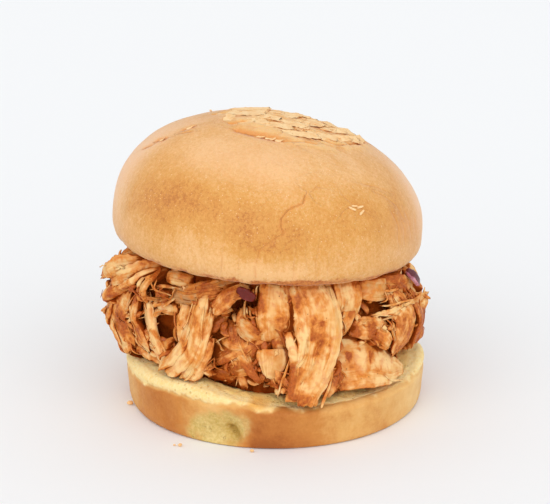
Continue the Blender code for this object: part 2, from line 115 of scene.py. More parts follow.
# %% Rings to a skin
def skin(rings, marks, size_on_map):
    """A skin from an array of (rows, around, 3) points, its marks (per-point arrays by name), and its
    rectangle."""
    rows, around, _ = rings.shape
    index = np.arange(rows * around).reshape(rows, around)
    beside = np.roll(index, -1, axis=1)
    quads = np.stack([index[:-1], beside[:-1], beside[1:], index[1:]], -1).reshape(-1, 4)
    start, end = rows * around, rows * around + 1
    first = np.stack([beside[0], index[0], np.full(around, start)], -1)
    last = np.stack([index[-1], beside[-1], np.full(around, end)], -1)
    points = np.concatenate([rings.reshape(-1, 3), rings[:1].mean(1), rings[-1:].mean(1)])
    across = np.arange(around + 1) / around
    up = 0.02 + 0.96 * np.linspace(0, 1, rows)
    left, right = np.meshgrid(across[:-1], up)[0], np.meshgrid(across[1:], up)[0]
    level = np.meshgrid(across[:-1], up)[1]
    corners = np.stack([
        np.stack([left[:-1], level[:-1]], -1), np.stack([right[:-1], level[:-1]], -1),
        np.stack([right[1:], level[1:]], -1), np.stack([left[1:], level[1:]], -1)], 2).reshape(-1, 4, 2)
    middle = (across[:-1] + across[1:]) / 2
    fan = [
        np.stack([np.stack([a, np.full(around, ring)], -1), np.stack([b, np.full(around, ring)], -1),
                  np.stack([middle, np.full(around, tip)], -1)], 1)
        for a, b, ring, tip in ((across[1:], across[:-1], 0.02, 0), (across[:-1], across[1:], 0.98, 1))]
    spread = {}
    for name, mark in marks.items():
        mark = np.broadcast_to(mark, (rows, around) + np.shape(mark)[2:])
        flat = mark.reshape((rows * around,) + mark.shape[2:])
        spread[name] = np.concatenate([flat, mark[:1].mean(1), mark[-1:].mean(1)])
    made = {"points": points, "quads": quads, "triangles": np.concatenate([first, last]), "marks": spread,
            "corners": corners, "fans": np.concatenate(fan), "size": size_on_map}
    middle_point = points.mean(0)
    a, b, c = (points[quads[:, corner]] - middle_point for corner in (0, 1, 2))
    if (a * np.cross(b, c)).sum() < 0:  # inside out, so every face is turned over
        for faces, places in (("quads", "corners"), ("triangles", "fans")):
            made[faces], made[places] = made[faces][:, ::-1], made[places][:, ::-1]
    return made


# %% Rectangles side by side on the map
def laid_out(sizes):
    """Places rectangles in shelves on a unit square, tallest first, and returns each one's corner and the
    scale."""
    order = sorted(range(len(sizes)), key=lambda item: -sizes[item][1])
    scale = 0.97 / math.sqrt(sum(wide * high for wide, high in sizes))
    while True:
        margin = 0.0015
        x = y = shelf = margin
        spots = {}
        for item in order:
            wide, high = (value * scale for value in sizes[item])
            if x + wide + margin > 1:
                x, y, shelf = margin, y + shelf, 0
            spots[item] = (x, y)
            x += wide + margin
            shelf = max(shelf, high + margin)
        if y + shelf <= 1:
            return [spots[item] for item in range(len(sizes))], scale
        scale *= 0.97


# %% Skins to a piece
def new_piece(name, skins, finish, stands_for):
    """One object from skins, with their marks as attributes, riding on the sandwich and standing for a
    solid."""
    spots, scale = laid_out([made["size"] for made in skins])
    points, quads, triangles, maps, fans, count = [], [], [], [], [], 0
    for made, spot in zip(skins, spots):
        points.append(made["points"])
        quads.append(made["quads"] + count)
        triangles.append(made["triangles"] + count)
        stretch = np.array(made["size"]) * scale
        maps.append(made["corners"] * stretch + spot)
        fans.append(made["fans"] * stretch + spot)
        count += len(made["points"])
    points, quads, triangles = (np.concatenate(parts) for parts in (points, quads, triangles))
    mesh = bpy.data.meshes.new(name)
    mesh.vertices.add(len(points))
    mesh.vertices.foreach_set("co", points.astype(np.float32).ravel())
    corners = np.concatenate([quads.ravel(), triangles.ravel()]).astype(np.int32)
    mesh.loops.add(len(corners))
    mesh.loops.foreach_set("vertex_index", corners)
    starts = np.concatenate([np.arange(len(quads)) * 4, len(quads) * 4 + np.arange(len(triangles)) * 3])
    mesh.polygons.add(len(starts))
    mesh.polygons.foreach_set("loop_start", starts.astype(np.int32))
    mesh.update(calc_edges=True)
    layer = mesh.uv_layers.new(name="OFBake")
    flat = np.concatenate([np.concatenate(maps).reshape(-1, 2), np.concatenate(fans).reshape(-1, 2)])
    layer.uv.foreach_set("vector", flat.astype(np.float32).ravel())
    for mark in skins[0]["marks"]:
        values = np.concatenate([made["marks"][mark] for made in skins]).astype(np.float32)
        kind, field = ("FLOAT_VECTOR", "vector") if values.ndim == 2 else ("FLOAT", "value")
        mesh.attributes.new(mark, kind, "POINT").data.foreach_set(field, values.ravel())
    mesh.shade_smooth()
    mesh.materials.append(finish)
    piece = bpy.data.objects.new(name, mesh)
    bpy.context.scene.collection.objects.link(piece)
    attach(piece, "root")
    if stands_for:
        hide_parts(stands_for)
    print(f"{name}: {len(skins)} skins, {len(quads) * 2 + len(triangles)} triangles")


# %% [markdown]
# ## Finishes
# A finish is a small calculation that runs at every point of a surface. Written with nodes it is hard to
# read, so a socket is wrapped in a class whose operators add Math nodes, and the calculation reads as
# ordinary arithmetic.

# %% Sockets with arithmetic
class Value:
    """A number, vector or colour on its way through a finish."""

    def __init__(self, finish, socket):
        self.finish, self.socket = finish, socket

    def maths(self, operation, *values):
        return self.finish.node("ShaderNodeMath", {"operation": operation}, dict(enumerate(values)))

    def __add__(self, other):
        return self.maths("ADD", self, other)

    def __sub__(self, other):
        return self.maths("SUBTRACT", self, other)

    def __rsub__(self, other):
        return self.maths("SUBTRACT", other, self)

    def __mul__(self, other):
        return self.maths("MULTIPLY", self, other)

    def __abs__(self):
        return self.maths("ABSOLUTE", self)

    __radd__, __rmul__ = __add__, __mul__

    def rise(self, low, high):
        """0 below the low value, 1 above the high one, and smooth between them. Low may be the greater."""
        settings = {"interpolation_type": "SMOOTHSTEP", "clamp": True}
        if low > high:
            return 1 - self.rise(high, low)
        return self.finish.node("ShaderNodeMapRange", settings, {0: self, 1: low, 2: high})

    def times(self, factors):
        """A vector with each part multiplied."""
        return self.finish.node("ShaderNodeVectorMath", {"operation": "MULTIPLY"}, {0: self, 1: factors})


# %% Finishes and their nodes
class Finish:
    """A material in the making, with a shader that has its constants set."""

    def __init__(self, name, **constants):
        self.material = bpy.data.materials.new(name)
        self.material.use_nodes = True
        self.tree = self.material.node_tree
        self.shader = self.tree.nodes["Principled BSDF"]
        for socket, constant in constants.items():
            self.shader.inputs[socket.replace("_", " ")].default_value = constant

    def node(self, kind, settings=None, inputs=None, output=0):
        made = self.tree.nodes.new(kind)
        for setting, choice in (settings or {}).items():
            if setting == "stops":
                while len(made.color_ramp.elements) < len(choice):
                    made.color_ramp.elements.new(0.5)
                for element, (place, colour) in zip(made.color_ramp.elements, choice):
                    element.position, element.color = place, (*colour, 1)
            else:
                setattr(made, setting, choice)
        for name, value in (inputs or {}).items():
            if isinstance(value, Value):
                self.tree.links.new(value.socket, made.inputs[name])
            else:
                made.inputs[name].default_value = value
        return Value(self, made.outputs[output])

    def mark(self, name):
        """The parts of a mark of the mesh: x, y, z and the whole vector."""
        whole = self.node("ShaderNodeAttribute", {"attribute_name": name}, output="Vector")
        split = self.node("ShaderNodeSeparateXYZ", inputs={0: whole})
        x, y, z = (Value(self, socket) for socket in split.socket.node.outputs)
        return x, y, z, whole

    def place(self):
        return self.node("ShaderNodeTexCoord", output="Object")

    def clouds(self, vector, size, detail=2.0, roughness=0.5, distortion=0.0):
        """Soft noise around 0.5, with swells of about a size in the vector's unit."""
        inputs = {"Scale": 1 / size, "Detail": detail, "Roughness": roughness, "Distortion": distortion}
        return self.node("ShaderNodeTexNoise", {}, {"Vector": vector, **inputs})

    def dots(self, vector, spacing, radius):
        """1 in round dots that are scattered about a spacing apart."""
        away = self.node("ShaderNodeTexVoronoi", {}, {"Vector": vector, "Scale": 1 / spacing})
        return away.rise(radius / spacing, 0.5 * radius / spacing)

    def mix(self, share, below, above):
        """A colour between two."""
        below, above = ((*side, 1) if isinstance(side, tuple) else side for side in (below, above))
        return self.node("ShaderNodeMix", {"data_type": "RGBA"}, {0: share, 6: below, 7: above}, output=2)

    def wear(self, socket, value):
        self.tree.links.new(value.socket, self.shader.inputs[socket])

    def over(self, colour, layers):
        """Lays more colours over one. Each layer is a share, from 0 to 1 at each point, and its colour."""
        for share, above in layers:
            colour = self.mix(share, colour, above)
        return colour

    def relief(self, height, depth):
        """A bump from a height between 0 and 1. The depth is in metres."""
        return self.node("ShaderNodeBump", {}, {"Height": height, "Distance": depth, "Strength": 1.0})


# %% [markdown]
# ## Light, floor and camera
# Food on white is lit from all sides: a white surround, and two broad soft lights from the front, the left
# one a little stronger. A sun with a wide disc lights a large floor evenly, where a lamp would leave a
# bright pool. The floor is off-white so that it comes out just short of white, and it is only marked as a
# stage.

# %% The white surround and the soft lights
scene = bpy.context.scene
scene.view_settings.view_transform = "Standard"
surround = bpy.data.worlds.new("white surround")
surround.use_nodes = True
surround.node_tree.nodes["Background"].inputs["Color"].default_value = (0.97, 0.985, 1.0, 1)
surround.node_tree.nodes["Background"].inputs["Strength"].default_value = 0.80
scene.world = surround


def soft_sun(name, towards, strength, disc):
    """A far light with a wide disc, shining towards a direction."""
    light = bpy.data.lights.new(name, "SUN")
    light.energy, light.angle = strength, math.radians(disc)
    holder = bpy.data.objects.new(name, light)
    holder.rotation_euler = Vector(towards).to_track_quat("-Z", "Y").to_euler()
    scene.collection.objects.link(holder)


soft_sun("soft light front left", (0.45, 0.85, -0.75), 0.76, 60)
soft_sun("soft light front right", (-0.45, 0.85, -0.75), 0.62, 60)

# %% The floor
floor_mesh = bpy.data.meshes.new("pale_floor")
FLOOR_SIDES, FLOOR_RADIUS, FLOOR_DROP = 96, 3.0, 0.0002
turns = [math.tau * step / FLOOR_SIDES for step in range(FLOOR_SIDES)]
rim = [(FLOOR_RADIUS * math.cos(turn), FLOOR_RADIUS * math.sin(turn), -FLOOR_DROP) for turn in turns]
floor_mesh.from_pydata(rim, [], [list(range(FLOOR_SIDES))])
floor = bpy.data.objects.new("pale_floor", floor_mesh)
scene.collection.objects.link(floor)
paper = Finish("pale paper", Roughness=0.9)
shading = paper.clouds(paper.place(), 0.5)
paper.wear("Base Color", paper.mix(shading, (0.884, 0.888, 0.893), (0.896, 0.900, 0.905)))
floor_mesh.materials.append(paper.material)
floor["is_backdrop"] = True

# %% The camera
VIEW_HEIGHT = 52 * MM  # what the camera looks at, above the floor
VIEW_DROP = math.radians(18)  # how far it looks down
VIEW_DISTANCE = 0.60
lens = bpy.data.cameras.new("camera")
lens.lens, lens.sensor_width, lens.clip_end = 112, 36, 20
camera = bpy.data.objects.new("camera", lens)
away = Vector((0, -math.cos(VIEW_DROP), math.sin(VIEW_DROP)))
camera.location = Vector((0, 0, VIEW_HEIGHT)) + away * VIEW_DISTANCE
camera.rotation_euler = (math.pi / 2 - VIEW_DROP, 0, 0)
scene.collection.objects.link(camera)
scene.camera = camera

# %% [markdown]
# ## Bun top: shape
# The crown is a squared-off dome on a rounded waist, with a few broad swells. It leans: it is taller
# towards -X. The same formulas made the solid, so the finer skin here lies on it exactly. On top of that
# come unevenness, loose skin that has come away in plates over the crest, and creases. A subdivided sculpt
# would need its shape drawn by hand, and the formulas need only numbers.

# %% Sizes of the bun top
TOP_RADIUS = 53.9 * MM
TOP_CUT_RADIUS = 48.0 * MM
TOP_WAIST = 6.8 * MM
WAIST_POWER = 2.43
DOME_HEIGHT = 36.3 * MM
DOME_POWER = 2.30
DOME_LEAN = 3.5
DOME_SHIFT = 6.1 * MM
TOP_PLACE = Vector((-2.8 * MM, 0, 56.3 * MM))
TOP_ROLL = 0.064
TOP_PITCH = -0.0145
TOP_SWELL = 0.8 * MM
TOP_TURN = Matrix.Rotation(TOP_ROLL, 3, "Y") @ Matrix.Rotation(TOP_PITCH, 3, "X")


# %% The dome's formulas
def rounded(share):
    """The quarter of a squared-off ellipse that rounds the lower rim, from 1 at 0 to 0 at 1."""
    return (1 - share**WAIST_POWER) ** (1 / WAIST_POWER)


def leaned(places):
    """Moves points of the upright dome to their places on the leaning one."""
    crest = np.clip((places[..., 2] - TOP_WAIST) / DOME_HEIGHT, 0, 1)
    tall = np.maximum(0, places[..., 2] * (1 - DOME_LEAN * places[..., 0]))
    return np.stack([places[..., 0] + DOME_SHIFT * crest**2, places[..., 1], tall], -1)


def set_on_heap(places):
    """Turns and moves points of the bun top to their place on the sandwich."""
    return places @ np.array(TOP_TURN.transposed()) + np.array(TOP_PLACE)


def top_profile():
    """Radius and height, from the middle of the cut face out round the waist and over the dome."""
    cut = [(share * TOP_CUT_RADIUS, 0) for share in np.linspace(0.01, 0.985, 14)]
    shares = np.linspace(0, 1, 24)[:-1]
    step_out = TOP_RADIUS - TOP_CUT_RADIUS
    waist = [(TOP_CUT_RADIUS + step_out * rounded(1 - share), TOP_WAIST * share) for share in shares]
    dome = []
    for turn in np.linspace(0, math.pi / 2, 165)[:-1]:
        rise = DOME_HEIGHT * math.sin(turn) ** (2 / DOME_POWER)
        dome.append((TOP_RADIUS * math.cos(turn) ** (2 / DOME_POWER), TOP_WAIST + rise))
    return np.array(cut + waist + dome)


def angles_round(count, gathered):
    """Angles from the front, closer together at the front by the gathered share."""
    share = np.arange(count) / count
    return math.tau * share + math.pi + gathered * np.sin(math.tau * share)


def spun(profile, angles):
    """Points and outward directions of a (radius, height) profile turned round Z, from the front towards
    +X."""
    step = np.gradient(profile, axis=0)
    facing = np.stack([step[:, 1], -step[:, 0]], -1)
    facing /= np.linalg.norm(facing, axis=1)[:, None]
    around = np.stack([np.sin(angles), -np.cos(angles)], -1)
    shape = (len(profile), len(angles), 1)
    return [
        np.concatenate([values[:, None, :1] * around[None], np.broadcast_to(values[:, None, 1:], shape)], -1)
        for values in (profile, facing)]


# %% The crust's own skin
TOP_COLUMNS = 470
top_angles = angles_round(TOP_COLUMNS, 0.30)
upright, outwards = spun(top_profile(), top_angles)
crust_share = smoothstep(0, TOP_WAIST, upright[..., 2])
broad = np.array([noise.noise(Vector(place) * 32) for place in upright.reshape(-1, 3)])
broad = broad.reshape(crust_share.shape)
print("bun top rows and columns:", upright.shape[:2])


# %% [markdown]
# The crest of this bun is flaky: the skin has dried, cracked and come loose in thin plates. Terraces cut
# from noise give the stepped edges of layers that are still stuck down. The loose plates are pieces of
# their own, further on.

# %% Flaky crest
plan = upright[..., :2] + np.stack([swells(upright, 9 * MM, 5), swells(upright, 9 * MM, 6)], -1) * 1.5 * MM
crest_out = np.hypot((plan[..., 0] - 2 * MM) / (26 * MM), (plan[..., 1] - 3.5 * MM) / (26.5 * MM))
flaky = smoothstep(1.06, 0.92, crest_out) * (upright[..., 2] > TOP_WAIST)
steps = layered(upright * [1, 1.6, 1], 9 * MM, 3, 21) * 2.4 + 2
whole = np.floor(steps)
terraces = whole + smoothstep(0.0, 0.22, steps - whole) - 2
unevenness = 0.16 * swells(upright, 11 * MM, 3) + 0.06 * swells(upright, 4 * MM, 4)
TERRACE_STEP = 0.22 * MM
relief = crust_share * (TOP_SWELL * broad + MM * unevenness + TERRACE_STEP * flaky * terraces)

# %% [markdown]
# Creases and cracks are thinner than the skin's own faces. Each is a line on the dome, and every point of
# the skin keeps its signed distance from the nearest one. The finish draws the line from that, as sharp as
# it needs to be.

# %% Lines on a curved skin
def nearest_line(points, facings, lines):
    """For each point: its signed distance from the nearest line, in widths of that line, and its strength
    there."""
    across = np.full(points.shape[:-1], 9.0)
    strength = np.zeros(points.shape[:-1])
    for line, force, width in lines:
        for first, second in zip(line, line[1:]):
            run = second - first
            along = np.clip(((points - first) @ run) / (run @ run), 0, 1)
            gap = points - first - along[..., None] * run
            distance = np.linalg.norm(gap, axis=-1) / MM / width
            side = np.sign((np.cross(run, gap) * facings).sum(-1))
            closer = distance < np.abs(across)
            across = np.where(closer, distance * np.where(side == 0, 1, side), across)
            strength = np.where(closer, force, strength)
    return across, strength


def on_dome(angle, height):
    """A point of the upright dome from degrees round the front and mm above its cut face."""
    rise = min(1, max(0, (height * MM - TOP_WAIST) / DOME_HEIGHT))
    turn = math.asin(rise ** (DOME_POWER / 2))
    reach = TOP_RADIUS * math.cos(turn) ** (2 / DOME_POWER)
    turn = math.radians(angle)
    return np.array([reach * math.sin(turn), -reach * math.cos(turn), height * MM])


def over_crest(x, y):
    """A point of the upright dome over a place on its plan, in mm."""
    reach = math.hypot(x, y) * MM
    turn = math.acos((reach / TOP_RADIUS) ** (DOME_POWER / 2))
    height = TOP_WAIST + DOME_HEIGHT * math.sin(turn) ** (2 / DOME_POWER)
    return np.array([x * MM, y * MM, height])


SIDE_CREASES = [  # (angle, height) along each, and its strength
    ([(10.5, 29.5), (10, 27.6), (7, 26.6), (4, 25.2), (2.2, 22.8), (2.6, 20.5), (4.2, 18.4)], 0.9),
    ([(4.2, 18.4), (2, 17.0), (-1.5, 14.2), (-3.6, 12.2), (-4.4, 8), (-4, 3.8)], 0.55),
    ([(-16, 13.5), (-15.7, 9), (-16.2, 3)], 0.30),
    ([(9, 13.4), (9.4, 8), (9, 1.6)], 0.30),
    ([(17, 14.8), (16.6, 9), (17.3, 3)], 0.28),
    ([(25, 12), (24.5, 7), (25.2, 3)], 0.18),
    ([(-28, 11), (-27.5, 6), (-28.4, 2.6)], 0.16),
    ([(36, 26.4), (33, 27.6), (30, 29.2), (28.5, 30.6)], 0.35),
    ([(52, 25), (54.5, 19), (54, 13)], 0.50),
    ([(57, 24), (59, 18), (58.6, 12)], 0.42),
    ([(63, 23), (64, 17.5), (65.5, 13)], 0.50),
    ([(70, 21), (69.6, 16), (71, 11)], 0.40),
    ([(47, 31), (52, 29.5), (57, 26.5), (60, 22)], 0.45),
    ([(41, 33.5), (47, 32.6), (54, 31)], 0.40),
    ([(13, 31), (15.5, 32.4), (18, 32.2)], 0.40),
    ([(26, 25.5), (28, 27), (31, 27.4)], 0.45),
    ([(-58, 24), (-62, 19), (-61, 14)], 0.2),
]
CREST_CRACKS = [  # (x, y) on the plan along each, its strength and its width in mm
    ([(-17.5, -17.6), (-13.8, -19.4), (-9.6, -20.3)], 1.0, 2.0),
    ([(-9.6, -20.3), (-5.4, -21.8)], 1.0, 2.8),
    ([(-5.4, -21.8), (-2.5, -22.8)], 0.9, 1.1),
    ([(-20.5, -11.2), (-18.2, -11.4), (-16, -10.3)], 1.0, 1.1),
    ([(-34.5, -11.4), (-31.8, -10.1)], 0.9, 1.6),
    ([(-34.7, -14.1), (-32.5, -14.7)], 0.8, 0.9),
    ([(-41.9, -10.8), (-39.6, -12.5)], 1.0, 1.7),
    ([(-45.7, -8.5), (-43.3, -11.2)], 0.8, 1.1),
    ([(-2.5, -22.8), (1.0, -21.9), (6.5, -19.4), (8.5, -18.6)], 0.7, 0.8),
    ([(7.2, -14.8), (11.2, -14.1), (14.6, -14.4), (18, -11.5)], 0.7, 0.8),
    ([(9.2, -7.1), (13.7, -7.1)], 0.8, 1.0),
    ([(20, -7.6), (24.3, -1.1), (29.1, 8.5)], 0.8, 1.2),
    ([(-26, 2), (-20, 4), (-15, 3), (-10, 6)], 0.7, 1.0),
    ([(2, 12), (9, 15), (15, 13), (20, 16)], 0.7, 1.0),
]
lines = [([on_dome(*spot) for spot in line], 0.85 * force, 0.8) for line, force in SIDE_CREASES]
lines += [([over_crest(*spot) for spot in line], force, width) for line, force, width in CREST_CRACKS]
wander = np.stack([swells(upright, 5 * MM, seed) for seed in (8, 9, 10)], -1) * 0.5 * MM
crease_across, crease_force = nearest_line(upright + wander, outwards, lines)
crown_out = np.hypot(upright[..., 0], upright[..., 1])
crease_depth = (0.35 + 0.55 * (crown_out < 27 * MM)) * MM  # deeper over the crest than on the side
sunk = crease_depth * crease_force * np.exp(-((crease_across / 0.8) ** 2))
hem = 0.5 * MM * layered(upright * [1, 1, 0.2], 6 * MM, 3, 41)
hem *= np.exp(-(((upright[..., 2] / MM - 0.8) / 2.4) ** 2))
crown_relief = relief - sunk + hem
top_rings = set_on_heap(leaned(upright + outwards * crown_relief[..., None]))
print("points within half a line's width of a crease:", int((np.abs(crease_across) < 0.5).sum()))

# %% [markdown]
# ## Bun top: where it is brown
# An oven browns the shoulders of a bun, and butter, steam and folded dough leave patches. Each patch is a
# soft spot given by its place and spread. The paler crest is partly paler crust and partly painted sheen, the
# pale patches far to the left and right are painted reflection of the white surround, and the hazy patches
# are painted sheen. Their sum is kept on the skin, and the finish turns it to colour.

# %% Browned and pale patches
def patch(angle, height, wide, high, strength, tilt=0.0):
    """A soft spot on the bun top's side: its middle and spread in degrees and in mm above the cut face."""
    around = np.degrees(np.arctan2(upright[..., 0], -upright[..., 1]))
    off = (around - angle + 180) % 360 - 180
    up = upright[..., 2] / MM - height - tilt * off
    return strength * np.exp(-((off / wide) ** 2) - (up / high) ** 2)


BROWNED = [  # angle, height, spreads, strength and tilt of each patch
    (-46, 20, 18, 9, 0.34, 0.1), (-34, 24, 10, 5, 0.10), (-10, 21, 22, 5.5, 0.30), (-4, 13, 12, 4.5, 0.34),
    (38, 27, 18, 8, 0.14), (58, 20, 11, 6, 0.16), (22, 19, 14, 6, 0.10), (150, 24, 40, 8, 0.35),
    (-130, 22, 34, 9, 0.35), (100, 26, 22, 7, 0.25),
]
# Paler places: the lower edge is paler crust, the crest patches are partly paler crust and partly painted
# sheen, and the patches at -78 and 84 degrees are painted reflection.
PALE_CRUST_AND_SHEEN = [
    (-2, 36, 22, 7, 0.38), (-42, 35, 18, 6, 0.38), (40, 38, 20, 5, 0.28), (-25, 8, 16, 5, 0.30),
    (-6, 4, 16, 4, 0.40), (18, 7, 16, 4.5, 0.26), (-78, 22, 10, 14, 0.45), (84, 22, 10, 14, 0.4),
    (-60, 9, 20, 4, 0.2), (50, 9, 16, 4, 0.15), (180, 10, 60, 5, 0.3),
]
# toast carries that painted sheen and reflection as well as the browning
toast = 0.44 + sum(patch(*spot) for spot in BROWNED) - sum(patch(*spot) for spot in PALE_CRUST_AND_SHEEN)
toast += 0.07 * layered(upright, 14 * MM, 3, 31)
WARM = [(60, 19, 9, 5, 0.9), (-50, 20, 20, 9, 0.15), (5, 29, 5, 3, 0.2), (75, 14, 14, 6, 0.4)]
# Painted sheen: a pale haze over the crest and the far left and right, where the crust catches the white
# surround.
PAINTED_SHEEN_PATCHES = [(-6, 36, 26, 8, 0.6), (-84, 24, 16, 16, 1.2), (88, 24, 16, 16, 1.3), (-40, 34, 20, 7, 0.5)]
warm, painted_sheen = (sum(patch(*spot) for spot in spots) for spots in (WARM, PAINTED_SHEEN_PATCHES))
STAINED = [  # where sauce has soaked into the lower edge
    (-3, 1.0, 3, 1.4, 0.9), (4, 0.8, 5, 1.6, 1.1), (12, 1.0, 6, 2.1, 1.3), (20, 1.0, 4, 1.7, 1.1),
    (28, 2.0, 5, 1.8, 0.6), (-12, 1.4, 5, 1.5, 0.8), (-21, 1.2, 4, 1.2, 0.7), (-32, 1.4, 5, 1.3, 0.6),
    (-46, 1.2, 7, 1.3, 0.6), (40, 1.8, 5, 1.4, 0.6), (52, 1.4, 9, 1.4, 0.6), (70, 1.2, 12, 1.2, 0.5),
    (120, 1.2, 20, 1.2, 0.6), (180, 1.2, 30, 1.2, 0.5), (-120, 1.2, 24, 1.2, 0.6),
]
stain = sum(patch(*spot) for spot in STAINED)
crumb_side = smoothstep(1.2 * MM, 0.2 * MM, upright[..., 2])
crumb_side *= smoothstep(TOP_CUT_RADIUS + 1 * MM, TOP_CUT_RADIUS - 2 * MM, crown_out)
# The third part of the bake mark is the painted sheen.
top_marks = {
    "bake": np.stack([toast, warm, painted_sheen], -1),
    "crust": np.stack([flaky, stain, crumb_side], -1),
    "crease": np.stack([crease_across, crease_force, terraces], -1),
}
print("toast runs from", round(float(toast.min()), 2), "to", round(float(toast.max()), 2))

# %% [markdown]
# ## Bun top: finish
# Golden crust is satin: light scatters just under it and a soft sheen lies on it. Its colour runs from cream
# through gold to brown with the patches above, broken up by mottling, fine pale flour specks and small darker
# blisters, and a painted sheen lightens the crest and the far sides. Flaky skin is paler on its plates and
# orange-brown in its cracks. Cracks and creases are darkened partly by their own colour and partly by painted
# shade.

# %% Crust of the bun top
def crust_bumps(finish, place):
    """Fine leathery grain of baked crust, as a height between 0 and 1."""
    return 0.6 * finish.clouds(place, 1.6 * MM, 3) + 0.4 * finish.clouds(place, 0.5 * MM, 2)


top_crust = Finish(
    "golden crust of the bun top", Subsurface_Weight=0.10, Subsurface_Scale=0.002,
    Subsurface_Radius=(1.0, 0.45, 0.2), Sheen_Weight=0.20, Sheen_Roughness=0.45, Specular_IOR_Level=0.35)
place = top_crust.place()
toast_mark, warm_mark, painted_sheen_mark, _ = top_crust.mark("bake")
flaky_mark, stain_mark, crumb_mark, _ = top_crust.mark("crust")
across_mark, force_mark, terrace_mark, _ = top_crust.mark("crease")
mottle = top_crust.clouds(place, 7 * MM, 4, 0.6)
fine = top_crust.clouds(place, 1.1 * MM, 3, 0.6)
grain = top_crust.clouds(place, 0.45 * MM, 2, 0.6)
brushed = top_crust.clouds(place.times((1, 1, 0.14)), 0.8 * MM, 2, 0.6)
level = toast_mark
for cloud, force in ((mottle, 0.75), (fine, 0.85), (grain, 0.75), (brushed, 0.40)):
    level = level + (cloud - 0.5) * force
browning = [  # from cream to brown
    (0.0, (0.84, 0.48, 0.20)), (0.28, (0.77, 0.40, 0.13)), (0.52, (0.71, 0.335, 0.075)),
    (0.78, (0.65, 0.275, 0.052)), (1.0, (0.52, 0.18, 0.032)),
]
crust = top_crust.node("ShaderNodeValToRGB", {"stops": browning}, {0: level})
# painted sheen over the crest and the far sides
painted_sheen_share = (painted_sheen_mark * (0.6 + 0.6 * mottle)).rise(0.1, 1.3)
stuck_down = (terrace_mark * 0.9 + top_crust.clouds(place, 3 * MM, 3)).rise(0.0, 1.2)
flour = top_crust.dots(place, 1.25 * MM, 0.21 * MM) * top_crust.clouds(place, 9 * MM).rise(0.40, 0.60)
blisters = top_crust.dots(place, 4.3 * MM, 0.30 * MM)
edge = abs(across_mark) + (top_crust.clouds(place, 1.2 * MM) - 0.5) * 0.5
# Cracks and creases are darkened: partly the crust's own colour in the cracks, partly painted shade in the
# hollows, with a wider painted shade round the strongest ones.
crack_shade = edge.rise(0.42, 0.08) * force_mark * (mottle * 1.6 + fine - 0.7).rise(0.1, 0.7)
crack_shade_halo = edge.rise(1.3, 0.3) * force_mark * force_mark
soaked = (stain_mark + (fine - 0.5) * 0.8 + (mottle - 0.5) * 0.6).rise(0.25, 0.75)
crust = top_crust.over(crust, [
    (warm_mark * 0.55, (0.80, 0.36, 0.115)),
    # the painted sheen's colour
    (painted_sheen_share, (0.88, 0.515, 0.27)),
    (flaky_mark * 0.75, top_crust.mix(stuck_down, (0.74, 0.34, 0.10), (0.87, 0.52, 0.21))),
    (flour * 0.55, (0.95, 0.76, 0.50)),
    (blisters * 0.4, (0.60, 0.26, 0.07)),
    # painted shade round the cracks and creases, then in them
    (crack_shade_halo * 0.85, (0.76, 0.29, 0.065)),
    (crack_shade * 0.9, top_crust.mix(fine.rise(0.4, 0.6), (0.46, 0.14, 0.022), (0.72, 0.28, 0.05))),
    (soaked * 0.95, top_crust.mix(fine.rise(0.4, 0.65), (0.62, 0.20, 0.028), (0.40, 0.085, 0.010))),
    (crumb_mark, top_crust.mix(fine, (0.84, 0.62, 0.32), (0.93, 0.76, 0.47))),
])
top_crust.wear("Base Color", crust)
top_crust.wear("Roughness", 0.50 + 0.22 * flaky_mark - 0.18 * soaked + (fine - 0.5) * 0.2)
height = crust_bumps(top_crust, place) * (0.62 + 0.6 * flaky_mark) + 0.25 * grain - crack_shade * 0.9
top_crust.wear("Normal", top_crust.relief(height, 0.30 * MM))
crown_skin = skin(top_rings, top_marks, (4, 1.5))
new_piece("bun_top_crust", [crown_skin], top_crust.material, "bun_top")

# %% [markdown]
# ## Bun bottom: shape
# The bottom half is a thick disc with a rounded foot. Its brown crust climbs the side to an uneven line,
# and above it the pale cut crumb shows as a band that curls up where the heap has pushed on it. The same
# formulas made the solid.

# %% Sizes and formulas of the bun bottom
BOTTOM_FOOT = 50.8 * MM
BOTTOM_BELLY = 52.4 * MM
BOTTOM_RIM = 53.2 * MM
BOTTOM_ROUND = 6.0 * MM
BOTTOM_HEIGHT = 13.2 * MM
BOTTOM_LIP = 1.3 * MM
BRIM_ROUND = 3.2 * MM
BOTTOM_CURLS = [(-66, 44, 5.0), (-30, 18, 3.0), (84, 15, 4.2)]
CURL_START = 0.88
TEARS = [(-16, 4.5, 3.6), (-24, 9, 1.2)]
TEAR_HEIGHT = 4.5 * MM


def bumps(angle, places, unit_size=MM):
    """Sum of smooth bumps given as (angle, spread, size), with sizes in mm unless another unit is given."""
    return sum(size * unit_size * np.exp(-(((angle - at) / spread) ** 2)) for at, spread, size in places)


def front_angle(places):
    return np.degrees(np.arctan2(places[..., 0], -places[..., 1]))


def on_bottom(places):
    """Height of the bun bottom's cut face under points, and of its rim beyond it."""
    share = np.minimum(1, np.hypot(places[..., 0], places[..., 1]) / BOTTOM_RIM)
    curl = bumps(front_angle(places), BOTTOM_CURLS) * np.minimum(1, share / CURL_START) ** 4
    return BOTTOM_HEIGHT + BOTTOM_LIP * share**4 + curl


